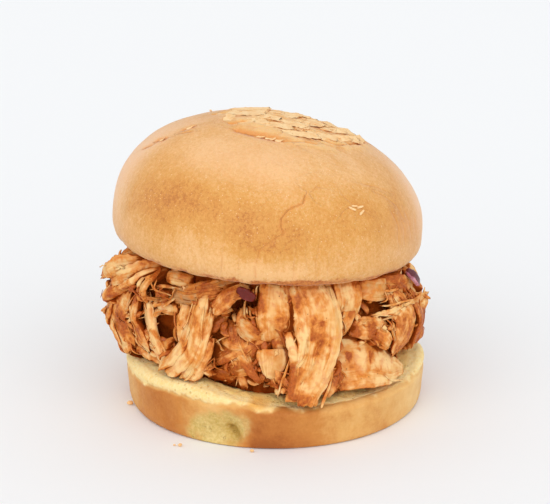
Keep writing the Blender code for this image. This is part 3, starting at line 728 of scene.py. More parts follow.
def bottom_profile():
    """Radius and height share, from the middle of the underside round the foot, up the side and over the cut
    face."""
    foot = [(share * BOTTOM_FOOT, 0) for share in np.linspace(0.02, 1, 10)]
    for turn in np.linspace(0, math.pi / 2, 16)[1:]:
        reach = BOTTOM_FOOT + (BOTTOM_BELLY - BOTTOM_FOOT) * math.sin(turn)
        foot.append((reach, BOTTOM_ROUND * (1 - math.cos(turn))))
    side = []
    for share in np.linspace(BOTTOM_ROUND / BOTTOM_HEIGHT, 0.84, 36)[1:]:
        reach = BOTTOM_BELLY + (BOTTOM_RIM - BOTTOM_BELLY) * math.sin(math.pi / 2 * (share - 0.45) / 0.55)
        side.append((reach, share * BOTTOM_HEIGHT))
    brim = []
    out, up = side[-1]
    for turn in np.linspace(0, math.pi / 2, 16)[1:]:
        brim.append((out - BRIM_ROUND * (1 - math.cos(turn)), up + (BOTTOM_HEIGHT - up) * math.sin(turn)))
    face = [(reach, BOTTOM_HEIGHT) for reach in np.linspace(brim[-1][0], 0.4 * MM, 66)[1:]]
    return np.array(foot + side + brim + face), len(foot) + len(side) + len(brim)


# %% The bottom's skin
BOTTOM_COLUMNS = 470
bottom_line, brim_end = bottom_profile()
bottom_angles = angles_round(BOTTOM_COLUMNS, 0.30)
flat_bottom, _ = spun(bottom_line, bottom_angles)
bottom_rings = flat_bottom.copy()
reach = np.hypot(flat_bottom[..., 0], flat_bottom[..., 1])
height = flat_bottom[..., 2]
share = np.clip((height - BOTTOM_ROUND) / (BOTTOM_HEIGHT - BOTTOM_ROUND), 0, None)
bottom_rings[..., 2] += share * (on_bottom(flat_bottom) - BOTTOM_HEIGHT)
around = front_angle(flat_bottom)
level_up = (bottom_rings[..., 2] - TEAR_HEIGHT) / (1.4 * TEAR_HEIGHT)
sunk = bumps(around, TEARS) * np.exp(-(level_up**2)) * smoothstep(0, 1.5 * MM, bottom_rings[..., 2])
wobble_at = np.stack([flat_bottom[..., 0] * 45, flat_bottom[..., 1] * 45, np.full_like(reach, 3.0)], -1)
wobble = 0.9 * MM * np.array([noise.noise(Vector(spot)) for spot in wobble_at.reshape(-1, 3)])
wobble = wobble.reshape(reach.shape)
outer = smoothstep(BOTTOM_FOOT, BOTTOM_BELLY, reach) * (bottom_rings[..., 2] > 0)
print("bun bottom rows and columns:", bottom_rings.shape[:2])

# %% [markdown]
# The crust line, the torn place at the front and the soft brim are worked out as masks on the skin first,
# because they move points as well as colour them. Torn crumb sinks and turns rough; crust stays smooth and
# bulges beside it.

# %% Crust line, tear and brim
CRUST_LINE = [  # angle, and how high the brown crust climbs there, in mm
    (-180, 12.4), (-140, 12.8), (-105, 12.6), (-85, 13.4), (-72, 13.0), (-60, 13.9), (-50, 15.1),
    (-41, 15.7), (-33, 15.0), (-27, 15.0),
    (-19, 15.5), (-12, 15.3), (-7, 14.1), (-2, 14.3), (4, 15.4), (10, 13.6), (19, 15.4), (30, 15.8),
    (39, 14.9), (51, 14.2),
    (64, 13.8), (76, 13.6), (86, 13.6), (110, 12.4), (140, 12.9), (180, 12.4)]
crust_top = np.interp(around, *zip(*CRUST_LINE))
crust_top += 0.7 * swells(np.stack([around / 5, height * 0, height * 0], -1), 1, 4)
above_crust = bottom_rings[..., 2] / MM - crust_top
on_face = np.zeros_like(reach)
on_face[brim_end:] = 1
paleness = np.maximum(smoothstep(-0.5, 0.7, above_crust + 0.9 * layered(flat_bottom, 3 * MM, 3, 6)), on_face)
torn_edge = 0.30 * layered(flat_bottom, 3.5 * MM, 3, 12)


def slanted(angle, height, wide, high, slant):
    """1 at the middle of a slanted oval on the side and 0 at its rim. The slant is in mm for each degree."""
    up = bottom_rings[..., 2] / MM - height - slant * (around - angle)
    return 1 - ((around - angle) / wide) ** 2 - (up / high) ** 2


torn = smoothstep(-0.45, 0.65, slanted(-22, 5.6, 13.0, 6.8, 0.16) + 1.3 * torn_edge)
torn *= (1 - on_face) * (bottom_rings[..., 2] > 0)
# A dent in the tear: it is sunk, and the finish darkens it with painted shade.
shaded_dent = smoothstep(-0.8, 1.1, slanted(-16, 4.4, 3.2, 1.7, -0.80) + 0.8 * torn_edge)
FOLDS = [  # angle, spread and strength of upright dents and swells in the side
    (-9.5, 1.8, 1.6), (-36.5, 1.4, 0.8), (-44, 2.0, 0.35), (12, 5, -0.4), (3, 1.2, 0.3), (28, 2.2, 0.35),
    (47, 3, 0.3), (-50, 5, -0.3), (-61, 2.0, 0.35), (72, 3, 0.3),
]
folds = bumps(around, FOLDS, 1)
print("share of the side that is torn:", round(float(torn[10:brim_end].mean()), 3))

# %% The finished skin of the bottom
pores = layered(flat_bottom * [1, 1, 1.4], 1.9 * MM, 2, 14)
push = outer * (wobble - sunk - MM * (0.45 * torn + 0.9 * shaded_dent) + MM * torn * 0.34 * pores)
push += outer * MM * 0.10 * swells(flat_bottom, 5 * MM, 15)
push -= outer * MM * 0.45 * folds * smoothstep(0, 4 * MM, bottom_rings[..., 2]) * (1 - on_face)
fringe = np.exp(-(((above_crust - 0.3) / 1.0) ** 2)) * (1 - on_face) * (bottom_rings[..., 2] > 6 * MM)
push -= MM * 0.45 * fringe
scale = 1 + push / np.maximum(reach, 1 * MM)
bottom_rings[..., 0] *= scale
bottom_rings[..., 1] *= scale
face_bumps = 0.42 * layered(flat_bottom, 2.6 * MM, 3, 17) + 0.5 * swells(flat_bottom, 12 * MM, 18)
face_bumps += 0.22 * pores
brim_share = smoothstep(BOTTOM_RIM - 11 * MM, BOTTOM_RIM - 2 * MM, reach)
sag = 0.5 * MM * swells(np.stack([around / 9, height * 0, height * 0], -1), 1, 19) * brim_share
upper = np.maximum(on_face, smoothstep(0.5, 1, share))
bottom_rings[..., 2] += upper * (MM * face_bumps * (0.3 + 0.5 * on_face) + sag * 0.8 - 0.2 * MM)
# The cut face is pushed up in a ring round the heap. Sizes are in mm.
MOUND_REACH, MOUND_SPREAD, MOUND_RISE = 43.5, 4.6, 1.7
mound = MOUND_RISE * MM * np.exp(-(((reach / MM - MOUND_REACH) / MOUND_SPREAD) ** 2)) * on_face
mound *= 0.8 + 0.4 * swells(flat_bottom, 9 * MM, 23)
bottom_rings[..., 2] = np.maximum(bottom_rings[..., 2] + mound, 0)
side_mark = np.clip(bottom_rings[..., 2] / BOTTOM_HEIGHT, 0, 2)
SIDE_BROWNING = [  # angle, spread and how much browner the side is there
    (-50, 12, 0.20), (-75, 10, -0.25), (0, 12, 0.34), (-12, 4, -0.15), (-25, 8, -0.30), (66, 20, -0.50),
    (30, 12, -0.26), (150, 40, 0.1), (-120, 30, 0.1),
]
bottom_toast = 0.55 + bumps(around, SIDE_BROWNING, 1) + 0.10 * layered(flat_bottom, 10 * MM, 3, 22)
DRIPS = [  # angle, height, both spreads and strength of sauce that has run onto the rim
    (-8, 15.6, 3.6, 1.6, 0.75), (-3, 15.2, 2.6, 1.4, 0.5), (9, 15.0, 2.5, 1.2, 0.4), (19, 15.0, 3, 1.2, 0.5),
    (-33, 16.8, 4, 0.8, 0.3), (52, 14, 3, 1.2, 0.35), (130, 14.5, 5, 1.2, 0.9), (-140, 14.5, 6, 1.2, 0.9),
    (170, 14.5, 4, 1.2, 0.8),
]
sauce_drips = np.zeros_like(reach)
for at, tall, wide, high, force in DRIPS:
    up = (bottom_rings[..., 2] / MM - tall) / high
    sauce_drips += force * np.exp(-(((around - at) / wide) ** 2) - up**2)
bottom_marks = {
    "bake": np.stack([bottom_toast, side_mark, sauce_drips], -1),
    "crust": np.stack([paleness, torn, shaded_dent], -1),
    # the third part marks the cut face under the heap, where the finish paints juice and warm shade
    "crease": np.stack([fringe, folds, on_face * smoothstep(-50.5, -46.0, -reach / MM)], -1),
}

# %% [markdown]
# ## Bun bottom: finish
# Three finishes meet here: brown satin crust, cream crumb with open pores, and torn crumb that is yellower
# and rougher. The pores and a dent in the tear are darkened with painted shade, and the crumb under the heap
# is more orange, partly juice and partly painted warm shade. They are mixed on one surface, because in the
# real bun one turns into the next over a millimetre or two.

# %% Crust and crumb of the bun bottom
bottom_finish = Finish(
    "crust and crumb of the bun bottom", Subsurface_Weight=0.25, Subsurface_Scale=0.002,
    Subsurface_Radius=(1.0, 0.8, 0.6), Specular_IOR_Level=0.12)
place = bottom_finish.place()
toast_mark, tall_mark, drip_mark, _ = bottom_finish.mark("bake")
pale_mark, torn_mark, shaded_dent_mark, _ = bottom_finish.mark("crust")
fringe_mark, _, juice_and_shade_mark, _ = bottom_finish.mark("crease")
mottle = bottom_finish.clouds(place, 6 * MM, 4, 0.6)
fine = bottom_finish.clouds(place, 0.9 * MM, 3, 0.6)
level = toast_mark + (mottle - 0.5) * 0.55 + (fine - 0.5) * 0.25 + tall_mark.rise(0.55, 0.0) * 0.10
browning = [
    (0.0, (0.86, 0.56, 0.23)), (0.32, (0.76, 0.41, 0.13)), (0.58, (0.62, 0.255, 0.060)),
    (0.85, (0.50, 0.170, 0.036)), (1.0, (0.40, 0.12, 0.025)),
]
crust = bottom_finish.node("ShaderNodeValToRGB", {"stops": browning}, {0: level})
gold_rim = (fringe_mark + (fine - 0.5) * 0.5).rise(0.15, 0.9)
# Pores in the crumb are painted darker: painted shade in the pores, which the bump also sinks.
shaded_pores = bottom_finish.dots(place, 1.7 * MM, 0.5 * MM) * bottom_finish.clouds(place, 5 * MM).rise(0.4, 0.6)
crumb = bottom_finish.mix(mottle.rise(0.3, 0.7), (0.95, 0.65, 0.25), (0.98, 0.76, 0.36))
crumb = bottom_finish.over(crumb, [
    (fine.rise(0.35, 0.7) * 0.45, (0.98, 0.84, 0.50)),
    (mottle.rise(0.52, 0.72) * 0.35, (0.90, 0.58, 0.16)),
    (shaded_pores * 0.6, (0.82, 0.50, 0.15)),
    # more orange on the cut face under the heap: partly juice, partly painted warm shade
    ((juice_and_shade_mark + (mottle - 0.5) * 0.8).rise(0.1, 0.9) * 0.65, (0.97, 0.64, 0.19)),
])
uneven = 0.5 * fine.rise(0.35, 0.65) + 0.5 * mottle.rise(0.35, 0.65)
torn_crumb = bottom_finish.mix(uneven, (0.58, 0.385, 0.10), (0.80, 0.60, 0.25))
drips = (drip_mark + (fine - 0.5) * 0.5 + (mottle - 0.5) * 0.9).rise(0.15, 0.95)
crust = bottom_finish.over(crust, [
    (gold_rim * 0.7, (0.78, 0.44, 0.14)),
    (pale_mark, crumb),
    # the dent in the torn crumb is painted shade
    (torn_mark, bottom_finish.mix(shaded_dent_mark * 0.75, torn_crumb, (0.42, 0.25, 0.05))),
    (drips * 0.8, (0.80, 0.36, 0.05)),
])
bottom_finish.wear("Base Color", crust)
soft = pale_mark.maths("MAXIMUM", pale_mark, torn_mark)
bottom_finish.wear("Roughness", 0.46 + 0.36 * soft - 0.25 * drips + (fine - 0.5) * 0.15)
height = crust_bumps(bottom_finish, place) * (0.45 + 1.3 * soft) - shaded_pores * soft
bottom_finish.wear("Normal", bottom_finish.relief(height, 0.35 * MM))
heel_skin = skin(bottom_rings, bottom_marks, (4, 1.2))
new_piece("bun_bottom_crust", [heel_skin], bottom_finish.material, "bun_bottom")

# %% [markdown]
# ## Pulled chicken: how a shred is made
# Pulled meat is bundles of fibres. Each shred is a flat skin along a curve, with shallow ribs that run its
# length, ends that are torn to uneven teeth, and a few finer fibres that peel away from it. Cut breast is
# smooth and stands in planks and blocks, torn thigh hangs in thin flaps, and the rest is strands. Hair
# strands, or a noise on a lump, would not give the broad faces and torn ends that make it look like
# chicken.

# %% Places in the heap
def heap_point(angle, height, reach):
    """A place in the heap, from degrees round the front, mm above the ground and mm out from the upright
    axis."""
    turn = math.radians(angle)
    return np.array([reach * math.sin(turn), -reach * math.cos(turn), height]) * MM


def curve_through(points, count):
    """Points evenly spaced in parameter on a Catmull-Rom curve through the given ones."""
    points = np.array(points)
    padded = np.concatenate([2 * points[:1] - points[1:2], points, 2 * points[-1:] - points[-2:-1]])
    spot = np.linspace(0, len(points) - 1, count)
    whole = np.minimum(spot.astype(int), len(points) - 2)
    t = (spot - whole)[:, None]
    a, b, c, d = (padded[whole + step] for step in range(4))
    return 0.5 * (2 * b + (c - a) * t + (2 * a - 5 * b + 4 * c - d) * t**2 + (3 * b - a - 3 * c + d) * t**3)


def under_top(places):
    """Height of the bun top's underside over points, and of its rounded rim outside it."""
    normal = TOP_TURN @ Vector((0, 0, 1))
    x, y = places[..., 0] - TOP_PLACE.x, places[..., 1] - TOP_PLACE.y
    share = (np.hypot(x, y) - 1.5 * MM - TOP_CUT_RADIUS) / (TOP_RADIUS - TOP_CUT_RADIUS)
    rim = leaned(np.stack([x, y, TOP_WAIST * (1 - rounded(np.clip(share, 0, 1)))], -1))[..., 2]
    return TOP_PLACE.z - (normal.x * x + normal.y * y) / normal.z + rim


def pressed(places, room=0.25 * MM):
    """Keeps points between the two halves of the bun, with a soft stop."""
    squeeze = 1.2 * MM
    up = places[..., 2]
    high = under_top(places) - room
    above = up - high + squeeze
    up = np.where(above > 0, high - squeeze * np.exp(-np.maximum(0, above) / squeeze), up)
    low = on_bottom(places) + room
    below = low + squeeze - up
    up = np.where(below > 0, low + squeeze * np.exp(-np.maximum(0, below) / squeeze), up)
    return np.stack([places[..., 0], places[..., 1], up], -1)


# %% Frames along a shred
def unit(ways):
    return ways / np.maximum(np.linalg.norm(ways, axis=-1, keepdims=True), 1e-12)


def frames_along(line, turn, twist=0.0):
    """The way ahead, to the side and outwards at each point of a line. The flat side faces out of the heap,
    turned by some degrees and twisted by more from one end to the other."""
    ahead = unit(np.gradient(line, axis=0))
    outward = unit(line * [1, 1, 0]) + [0, 0, 0.35]
    outward = unit(outward - (outward * ahead).sum(-1, keepdims=True) * ahead)
    turn = np.radians(turn + twist * np.linspace(-0.5, 0.5, len(line)))[:, None]
    outward = outward * np.cos(turn) + np.cross(ahead, outward) * np.sin(turn)
    return ahead, np.cross(ahead, outward), outward


# %% One bundle of fibres
def bundle(line, frames, width, thickness, seed, tone, sauce, around=34, lumps=0.5, ribs=0.06, torn=1.4,
           taper=0.3, blunt=0.6, power=0.7, ragged=0.35, bow=0.0, held=True):
    """The skin of one bundle of fibres along a line. Width, thickness, lumps, ribs, torn teeth, ragged sides
    and the bow across it are in mm. The power says how square its section is, where 1 is an ellipse and more
    is a lens. The tone is 0 for breast and 1 for thigh meat, sauce is 0 to 1, and a held bundle stays between
    the halves of the bun."""
    ahead, side, outward = (way[:, None] for way in frames)
    rows = len(line)
    share = np.arange(around) / around
    # rows of corners run closer together on the outer side
    way = math.tau * share - math.pi / 2 + 0.35 * np.sin(math.tau * share)
    wide, thick = (np.copysign(np.abs(part) ** power, part) for part in (np.cos(way), np.sin(way)))
    width = np.broadcast_to(width, rows)[:, None]
    thickness = np.broadcast_to(thickness, rows)[:, None]
    sideways, outwards = (np.diff(part, append=part[:1]) for part in (wide, thick))
    step = np.hypot(sideways * width.mean(), outwards * thickness.mean()) / 2
    round_it = np.cumsum(step) - step.cumsum()[around // 2]
    run = np.concatenate([[0], np.cumsum(np.linalg.norm(np.diff(line, axis=0), axis=1))]) / MM
    fibre = np.stack(np.broadcast_arrays(run[:, None], round_it[None], seed * 7.31), -1)
    along = np.linspace(-1, 1, rows)[:, None]
    pinch = (1 - taper * np.abs(along) ** 4) * (1 + 0.12 * swells(fibre * [1 / 9, 0, 1], 1, 1))
    thin = pinch * (1 - blunt * np.abs(along) ** 9)
    edge = np.stack(np.broadcast_arrays(run[:, None] / 2.1, np.sign(wide) * 3.0, seed * 7.31), -1)
    rag = ragged * (swells(edge, 1, 9) + 0.5 * swells(edge * [2.6, 1, 1], 1, 10)) * np.abs(wide) ** 3
    half = wide * (width / 2 * pinch + rag)
    facing = unit(side * (np.cos(way) * thickness)[..., None] + outward * (np.sin(way) * width)[..., None])
    broad_rib = np.abs(swells(fibre / [17, 1.25, 1], 1, 2))
    fine_rib = np.abs(swells(fibre / [10, 0.6, 1], 1, 3))
    rib = 2 * broad_rib - 0.6 + fine_rib - 0.3
    lump = swells(fibre / [6, 3.6, 1], 1, 4) + 0.5 * swells(fibre / [3, 1.9, 1], 1, 6) - 0.35
    height = lumps * lump + ribs * rib
    tip = np.stack(np.broadcast_arrays(np.sign(along) * 3, round_it / 1.7, seed * 7.31), -1)
    teeth = np.sign(along) * np.abs(along) ** 6 * torn * swells(tip, 1, 5)
    bulge = thick * thickness / 2 * thin + bow * (wide**2 - 0.4)
    points = line[:, None] + sum(
        way_out * (far * MM)[..., None]
        for way_out, far in ((side, half), (outward, bulge), (facing, height), (ahead, teeth)))
    patchy = 0.20 * swells(fibre / [7, 5, 1], 1, 7)
    at_edges = 0.12 * (np.abs(wide) > 0.93) + 0.10 * np.abs(along) ** 6
    meat = np.stack(np.broadcast_arrays(tone + patchy * 0.6, sauce + patchy + at_edges, 0.0), -1)
    marks, on_map = {"fibre": fibre, "meat": meat}, (float(step.sum()), max(float(run[-1]), 1.0))
    return skin(pressed(points) if held else points, marks, on_map)


# %% Finer fibres lying on a bundle
def sample(values, at):
    """Values along a line at shares of it, from 0 to 1."""
    spots = np.linspace(0, 1, len(values))
    return np.stack([np.interp(at, spots, values[:, part]) for part in range(3)], -1)


def fibres_on(line, frames, width, thickness, count, tone, sauce, draw, at_sides=0.4):
    """Fibres that lie along the outer side of a bundle and end on their own. Some hang on at its sides."""
    length = np.linalg.norm(np.diff(line, axis=0), axis=1).sum()
    for _ in range(count):
        side_one = draw.random() < at_sides
        middle = draw.choice((-0.5, 0.5)) if side_one else draw.uniform(-0.45, 0.45)
        start = draw.uniform(-0.02, 0.6)
        end = min(1.03, start + draw.uniform(0.2, 0.6))
        rows = max(7, int((end - start) * length / MM / 1.3))
        at = np.linspace(start, end, rows)
        ahead, side, outward = (unit(sample(way, np.clip(at, 0, 1))) for way in frames)
        beyond = (at - np.clip(at, 0, 1))[:, None] * length
        progress = np.linspace(0, 1, rows)
        drift = draw.uniform(-0.2, 0.2)
        sway = 0.03 * np.sin(progress * draw.uniform(4, 11))
        aside = np.clip(middle + drift * progress + sway, -0.56, 0.56)
        bulge = (1 - np.minimum(1, np.abs(2 * aside)) ** 2.6) ** (1 / 2.6) * thickness / 2
        wide = draw.uniform(0.4, 1.5)
        thick = wide * draw.uniform(0.4, 0.6)
        peel = draw.choice((0, 0.2, 0.5, 1.3)) * np.where(draw.random() < 0.5, progress, 1 - progress) ** 4
        lift = bulge - 0.28 * thick + peel
        path = sample(line, np.clip(at, 0, 1)) + ahead * beyond
        path = path + side * (aside * width * MM)[:, None] + outward * (lift * MM)[:, None]
        yield bundle(
            path, (ahead, side, outward), wide, thick, draw.uniform(0, 90), tone + draw.uniform(-0.1, 0.1),
            sauce + draw.uniform(-0.25, 0.2), around=9, lumps=0.10, ribs=0.03, torn=0.5, taper=0.6, blunt=0.5,
            ragged=0.1)


# %% [markdown]
# ## Pulled chicken: the pieces that stand out
# These are the slabs, planks, loops and strands that can be told apart at the front and sides, in the same
# places as in the solid. Each has its own share of thigh meat and of sauce, and as many loose fibres as its
# width asks for.

# %% Kinds of shred
KINDS = {  # settings of each kind's skin, its fibres for each mm of width, and its twist in degrees
    "plank": (
        dict(lumps=0.20, ribs=0.07, torn=1.9, taper=0.10, blunt=0.35, power=0.50, ragged=0.45, bow=-0.25),
        0.25, 0),
    "block": (
        dict(lumps=0.14, ribs=0.05, torn=0.6, taper=0.02, blunt=0.08, power=0.38, ragged=0.25),
        0.10, 0),
    "flap": (
        dict(lumps=0.30, ribs=0.08, torn=2.2, taper=0.35, blunt=0.7, power=1.1, ragged=0.80, bow=0.7),
        0.25, 30),
    "strand": (
        dict(lumps=0.34, ribs=0.09, torn=1.4, taper=0.40, blunt=0.6, power=0.75, ragged=0.35),
        0.55, 45),
    "shreds": (
        dict(lumps=0.30, ribs=0.20, torn=1.8, taper=0.30, blunt=0.6, power=0.75, ragged=0.50),
        1.8, 20),
    "arm": (
        dict(lumps=0.22, ribs=0.08, torn=0.8, taper=0.15, blunt=0.7, power=0.80, ragged=0.20),
        0.35, 10),
}
TAPERS = {  # how wide some pieces are along their line, as shares of their width
    "slab_far_left": (0.35, 0.8, 1.1, 1.1), "slab_left": (0.45, 0.9, 1.1), "bump_left": (0.9, 1, 0.5),
    "curtain_left": (0.6, 1, 1.15, 0.9, 0.5), "fold_left": (0.5, 0.9, 1.1, 0.8),
    "behind_left": (0.8, 1, 1, 0.6),
    "loop_arm": (0.8, 0.85, 0.9, 1, 1.2, 1.0), "loop_outer": (0.6, 0.8, 0.9, 1, 1.2, 0.9),
    "cube": (0.90, 1.0, 0.98, 0.86, 0.62, 0.34), "diagonal": (1.1, 1, 0.9, 0.7),
    "plank_front": (0.9, 0.95, 1, 0.95, 0.95, 0.9, 0.80), "edge_front": (0.9, 1, 1, 0.8, 0.6),
    "chunk_right": (1, 1, 1, 0.95, 0.72, 0.40, 0.22), "wedge_long": (0.25, 0.45, 0.75, 1, 1.1),
    "drape_right": (0.6, 0.9, 1.1, 0.8), "tail_right": (0.5, 0.8, 1.1, 1.1),
}

# %% The main pieces
MAIN_PIECES = [  # name, kind, path of (angle, height, reach), width, thickness, turn, tone, sauce
    ("slab_far_left", "flap", [(-80, 46.5, 60.8), (-70, 53, 58), (-60, 57, 50)], 7, 4, 30, 0.30, 0.20),
    ("slab_left", "flap", [(-73, 46.5, 58.5), (-62, 52.5, 54.5), (-52, 56, 46)], 9, 4, 30, 0.25, 0.10),
    ("cross_long", "strand", [(-73, 43, 58), (-59, 51, 56), (-53, 56, 48)], 2.6, 2.4, 0, 0.15, 0.30),
    ("cross_short", "strand", [(-57, 42, 51), (-52, 50, 55.5), (-51, 56, 49)], 2.4, 2.2, 0, 0.20, 0.30),
    ("bump_left", "flap", [(-64, 48, 53.5), (-75, 43, 58), (-85, 36.5, 58.5)], 7.5, 5, 25, 0.15, 0.30),
    ("wisp_left", "flap", [(-77, 36, 56), (-85, 33, 59), (-89, 30, 59.5)], 4, 2.4, 40, 0.10, 0.25),
    ("curtain_left", "flap", [(-74, 45, 56), (-84, 33, 57), (-86, 21, 54)], 14, 4.5, 0, 0.15, 0.10),
    ("fold_left", "flap", [(-65, 47, 54), (-73, 35, 56), (-69, 24, 53)], 11, 4.5, -20, 0.12, 0.20),
    ("fold_inner", "flap", [(-61, 46, 52), (-62, 37, 53.5), (-57, 26, 51)], 10.5, 4, 25, 0.10, 0.25),
    ("behind_left", "flap", [(-71, 48, 49), (-71, 36, 51.5), (-67, 24, 50)], 13, 4, 10, 0.20, 0.50),
    ("heel_left", "flap", [(-50, 25, 44), (-60, 25, 47), (-71, 26, 50)], 9, 4.5, 20, 0.15, 0.40),
    ("ribbon_cream", "arm", [(-57, 47, 51), (-54, 37, 51.5), (-51, 27, 50), (-44, 20, 48)],
     5.6, 3.0, 15, 0.0, -0.10),
    ("loop_arm", "arm", [(-30, 52, 44), (-30.5, 43, 48.5), (-33.5, 31, 50.5), (-45, 19.8, 51)],
     6.0, 3.6, 5, 0.0, -0.20),
    ("loop_outer", "arm", [(-33.5, 50, 43.5), (-34, 43, 47.5), (-37.5, 32, 50), (-50, 21.5, 51)],
     5.0, 3.2, 25, 0.0, -0.15),
    ("loop_inner", "arm", [(-27, 50, 43), (-28, 42, 47.5), (-30, 31, 50), (-38, 19, 50.5)],
     4.8, 3.2, -15, 0.0, -0.10),
    ("loop_side", "arm", [(-40, 47, 44), (-39, 37, 48), (-37, 28, 47)], 5, 3, -10, 0.0, -0.10),
    ("loop_curl", "strand", [(-43, 40, 42), (-45.5, 34, 46), (-41, 26, 44)], 2.0, 2, 20, 0.10, 0.15),
    ("loop_tail", "strand", [(-27, 36, 48), (-30, 28, 50), (-36, 19, 50)], 6, 3.2, -15, 0.0, 0.20),
    ("loop_crown", "strand", [(-12, 53, 42), (-19, 51, 46), (-26, 45, 47)], 6, 3, 10, 0.15, 0.45),
    ("knob_left", "arm", [(-52, 52, 44), (-45, 54, 47.5), (-38, 53, 44)], 4.8, 3.6, 0, 0.30, 0.15),
    ("dark_long", "shreds", [(-56, 47, 44), (-34, 50, 45.5), (-16, 54, 41)], 8, 4, 15, 0.78, 0.15),
    ("dark_lower", "shreds", [(-52, 43, 43), (-35, 46, 44), (-19, 51, 41)], 5, 3, -10, 0.70, 0.20),
    ("edge_left", "plank", [(-57, 46, 47), (-52, 43, 48.5), (-46, 41, 44)], 4.5, 2.5, 20, 0.0, 0.12),
    ("plank_inner", "plank", [(0, 55, 43), (-0.5, 46, 45.5), (0, 36.5, 43.5)], 11, 4.5, 0, 0.0, 0.0),
    ("inner_low", "plank", [(1, 40, 43), (2.5, 35.5, 44.5), (4, 31, 43)], 7, 3, 15, 0.0, 0.15),
    ("plank_shoulder", "plank", [(6, 55, 43), (7, 44, 44.5), (6, 31, 44)], 7, 4, -15, 0.0, 0.60),
    ("sauced_curve", "strand", [(-12, 46, 42), (-3, 44, 45.5), (4, 37, 46)], 2.6, 2.2, 0, 0.10, 0.80),
    ("pink_shreds", "strand", [(-17, 41, 42), (-11, 39, 45), (-6, 36, 44)], 7, 4, 30, 0.30, 0.30),
    ("cube", "block", [(-1, 33.4, 45.5), (-1, 29, 47), (-2, 24.2, 46.5)], 11.5, 4.5, 0, 0.20, -0.45),
    ("diagonal", "strand", [(-21, 41, 41), (-14.5, 31, 45), (-7, 22, 46)], 5, 3.8, 0, 0.0, 0.42),
    ("stub_left", "strand", [(-23, 31, 40), (-21.5, 25, 43), (-20, 19, 42)], 4, 3.4, 0, 0.0, 0.40),
    ("stub_right", "strand", [(-17, 30, 40), (-15.5, 25, 42), (-14, 18, 43)], 4, 3, 15, 0.05, 0.50),
    ("low_left", "strand", [(-34, 20, 41), (-26, 22, 43), (-16, 22, 42)], 5, 3.4, 30, 0.30, 0.65),
    ("low_middle", "strand", [(-6, 23, 42), (0, 23, 43.5), (6, 27, 42)], 5, 3.4, 20, 0.10, 0.60),
    ("plank_front", "plank", [(12.5, 55, 43), (16, 43, 47.5), (14.5, 29, 50), (9, 17, 53)],
     15, 6, 0, 0.0, -0.10),
    ("edge_front", "plank", [(22, 54, 43.5), (24, 44, 48), (21.5, 33, 51), (16, 21, 53.5)],
     4.6, 3.2, -10, 0.0, -0.35),
    ("finger_front", "plank", [(5.5, 40, 47), (7, 33, 50), (8, 26, 50)], 3.4, 3, 0, 0.0, -0.1),
    ("chip_front", "plank", [(22, 26, 47), (22, 22, 49.5), (20, 18, 49.5)], 5, 3.5, 20, 0.0, 0.50),
    ("chunk_right", "block", [(26, 25.4, 44), (39, 25.2, 46.5), (51, 20.6, 47.5), (62, 16.6, 47.5)],
     18.5, 6, 0, 0.0, -0.15),
    ("slab_upper", "block", [(32, 54.5, 43), (31.5, 48, 46), (31, 40.5, 44)], 10, 3.4, 0, 0.14, -0.10),
    ("slab_grey", "block", [(38, 51.5, 44), (46, 49.5, 46.5), (56, 47.5, 46)], 8.5, 3.2, 15, 0.18, -0.20),
    ("strap_right", "strand", [(25, 37, 45), (29, 41, 47), (34, 46, 45)], 6, 3, 0, 0.10, 0.30),
    ("wedge_long", "flap", [(42, 41, 48), (57, 41.5, 52), (74, 40.8, 54)], 6.5, 2.8, 25, 0.0, -0.10),
    ("crumple_right", "strand", [(33, 38, 46), (42, 37, 48), (50, 34, 49)], 8, 4.5, 10, 0.05, 0.40),
    ("drape_right", "flap", [(53, 48, 48), (56, 38, 52.5), (55, 25, 50)], 10, 4, 10, 0.0, 0.50),
    ("drape_far", "flap", [(64, 46, 50), (67, 36, 53.5), (66, 25, 51)], 9, 4, -15, 0.0, 0.50),
    ("tail_right", "flap", [(57, 43.5, 49), (67, 41, 52), (76, 37, 53.8)], 7, 4, 25, 0.0, 0.40),
    ("slab_right", "flap", [(45, 52, 44), (57, 49.5, 48.5), (69, 46, 50)], 8, 3.6, 20, 0.15, 0.40),
    ("curl_right", "strand", [(48, 55, 43), (56, 52, 48), (66, 52, 46)], 4, 3, 10, 0.0, 0.10),
    ("knob_right", "plank", [(43, 36, 47), (46, 33.5, 51), (49, 30, 49)], 5, 4, 0, 0.0, 0.0),
]


def shred(path, width, thickness, turn, tone, sauce, draw, kind="strand", taper=None, wander=0.5,
          fineness=1.0):
    """The skins of one shred: its bundle, and the finer fibres on it. A lower fineness spends fewer triangles
    on it."""
    spots = [heap_point(*spot) for spot in path]
    length = sum(float(np.linalg.norm(b - a)) for a, b in zip(spots, spots[1:])) / MM
    rows = max(12, int(length / 0.65 * fineness))
    line = curve_through(spots, rows)
    seed = draw.uniform(0, 90)
    bend = np.stack([swells(line + seed, 9 * MM, seed_part) for seed_part in (1, 2, 3)], -1)
    line = line + wander * MM * bend
    settings, hairiness, twist = KINDS[kind]
    frames = frames_along(line, turn, draw.uniform(-twist, twist))
    widths = width
    if taper:
        widths = width * np.interp(np.linspace(0, 1, rows), np.linspace(0, 1, len(taper)), taper)
    around = int((24 + 1.8 * width) * fineness)
    yield bundle(line, frames, widths, thickness, seed, tone, sauce, around=around, **settings)
    yield from fibres_on(line, frames, width * 0.95, thickness, round(width * hairiness), tone, sauce, draw)


draw = random.Random(5)
main_skins = {}
for name, kind, path, width, thickness, turn, tone, sauce in MAIN_PIECES:
    main_skins[name] = list(shred(path, width, thickness, turn, tone, sauce, draw, kind, TAPERS.get(name)))
print("main pieces:", len(main_skins), "with", sum(len(skins) for skins in main_skins.values()), "skins")

# %% [markdown]
# ## Pulled chicken: behind and between
# The rest of the heap has no piece that is worth a name. Random shreds fill the sides and the back, set
# back behind the main pieces at the front, round a lumpy hidden middle that closes every gap.

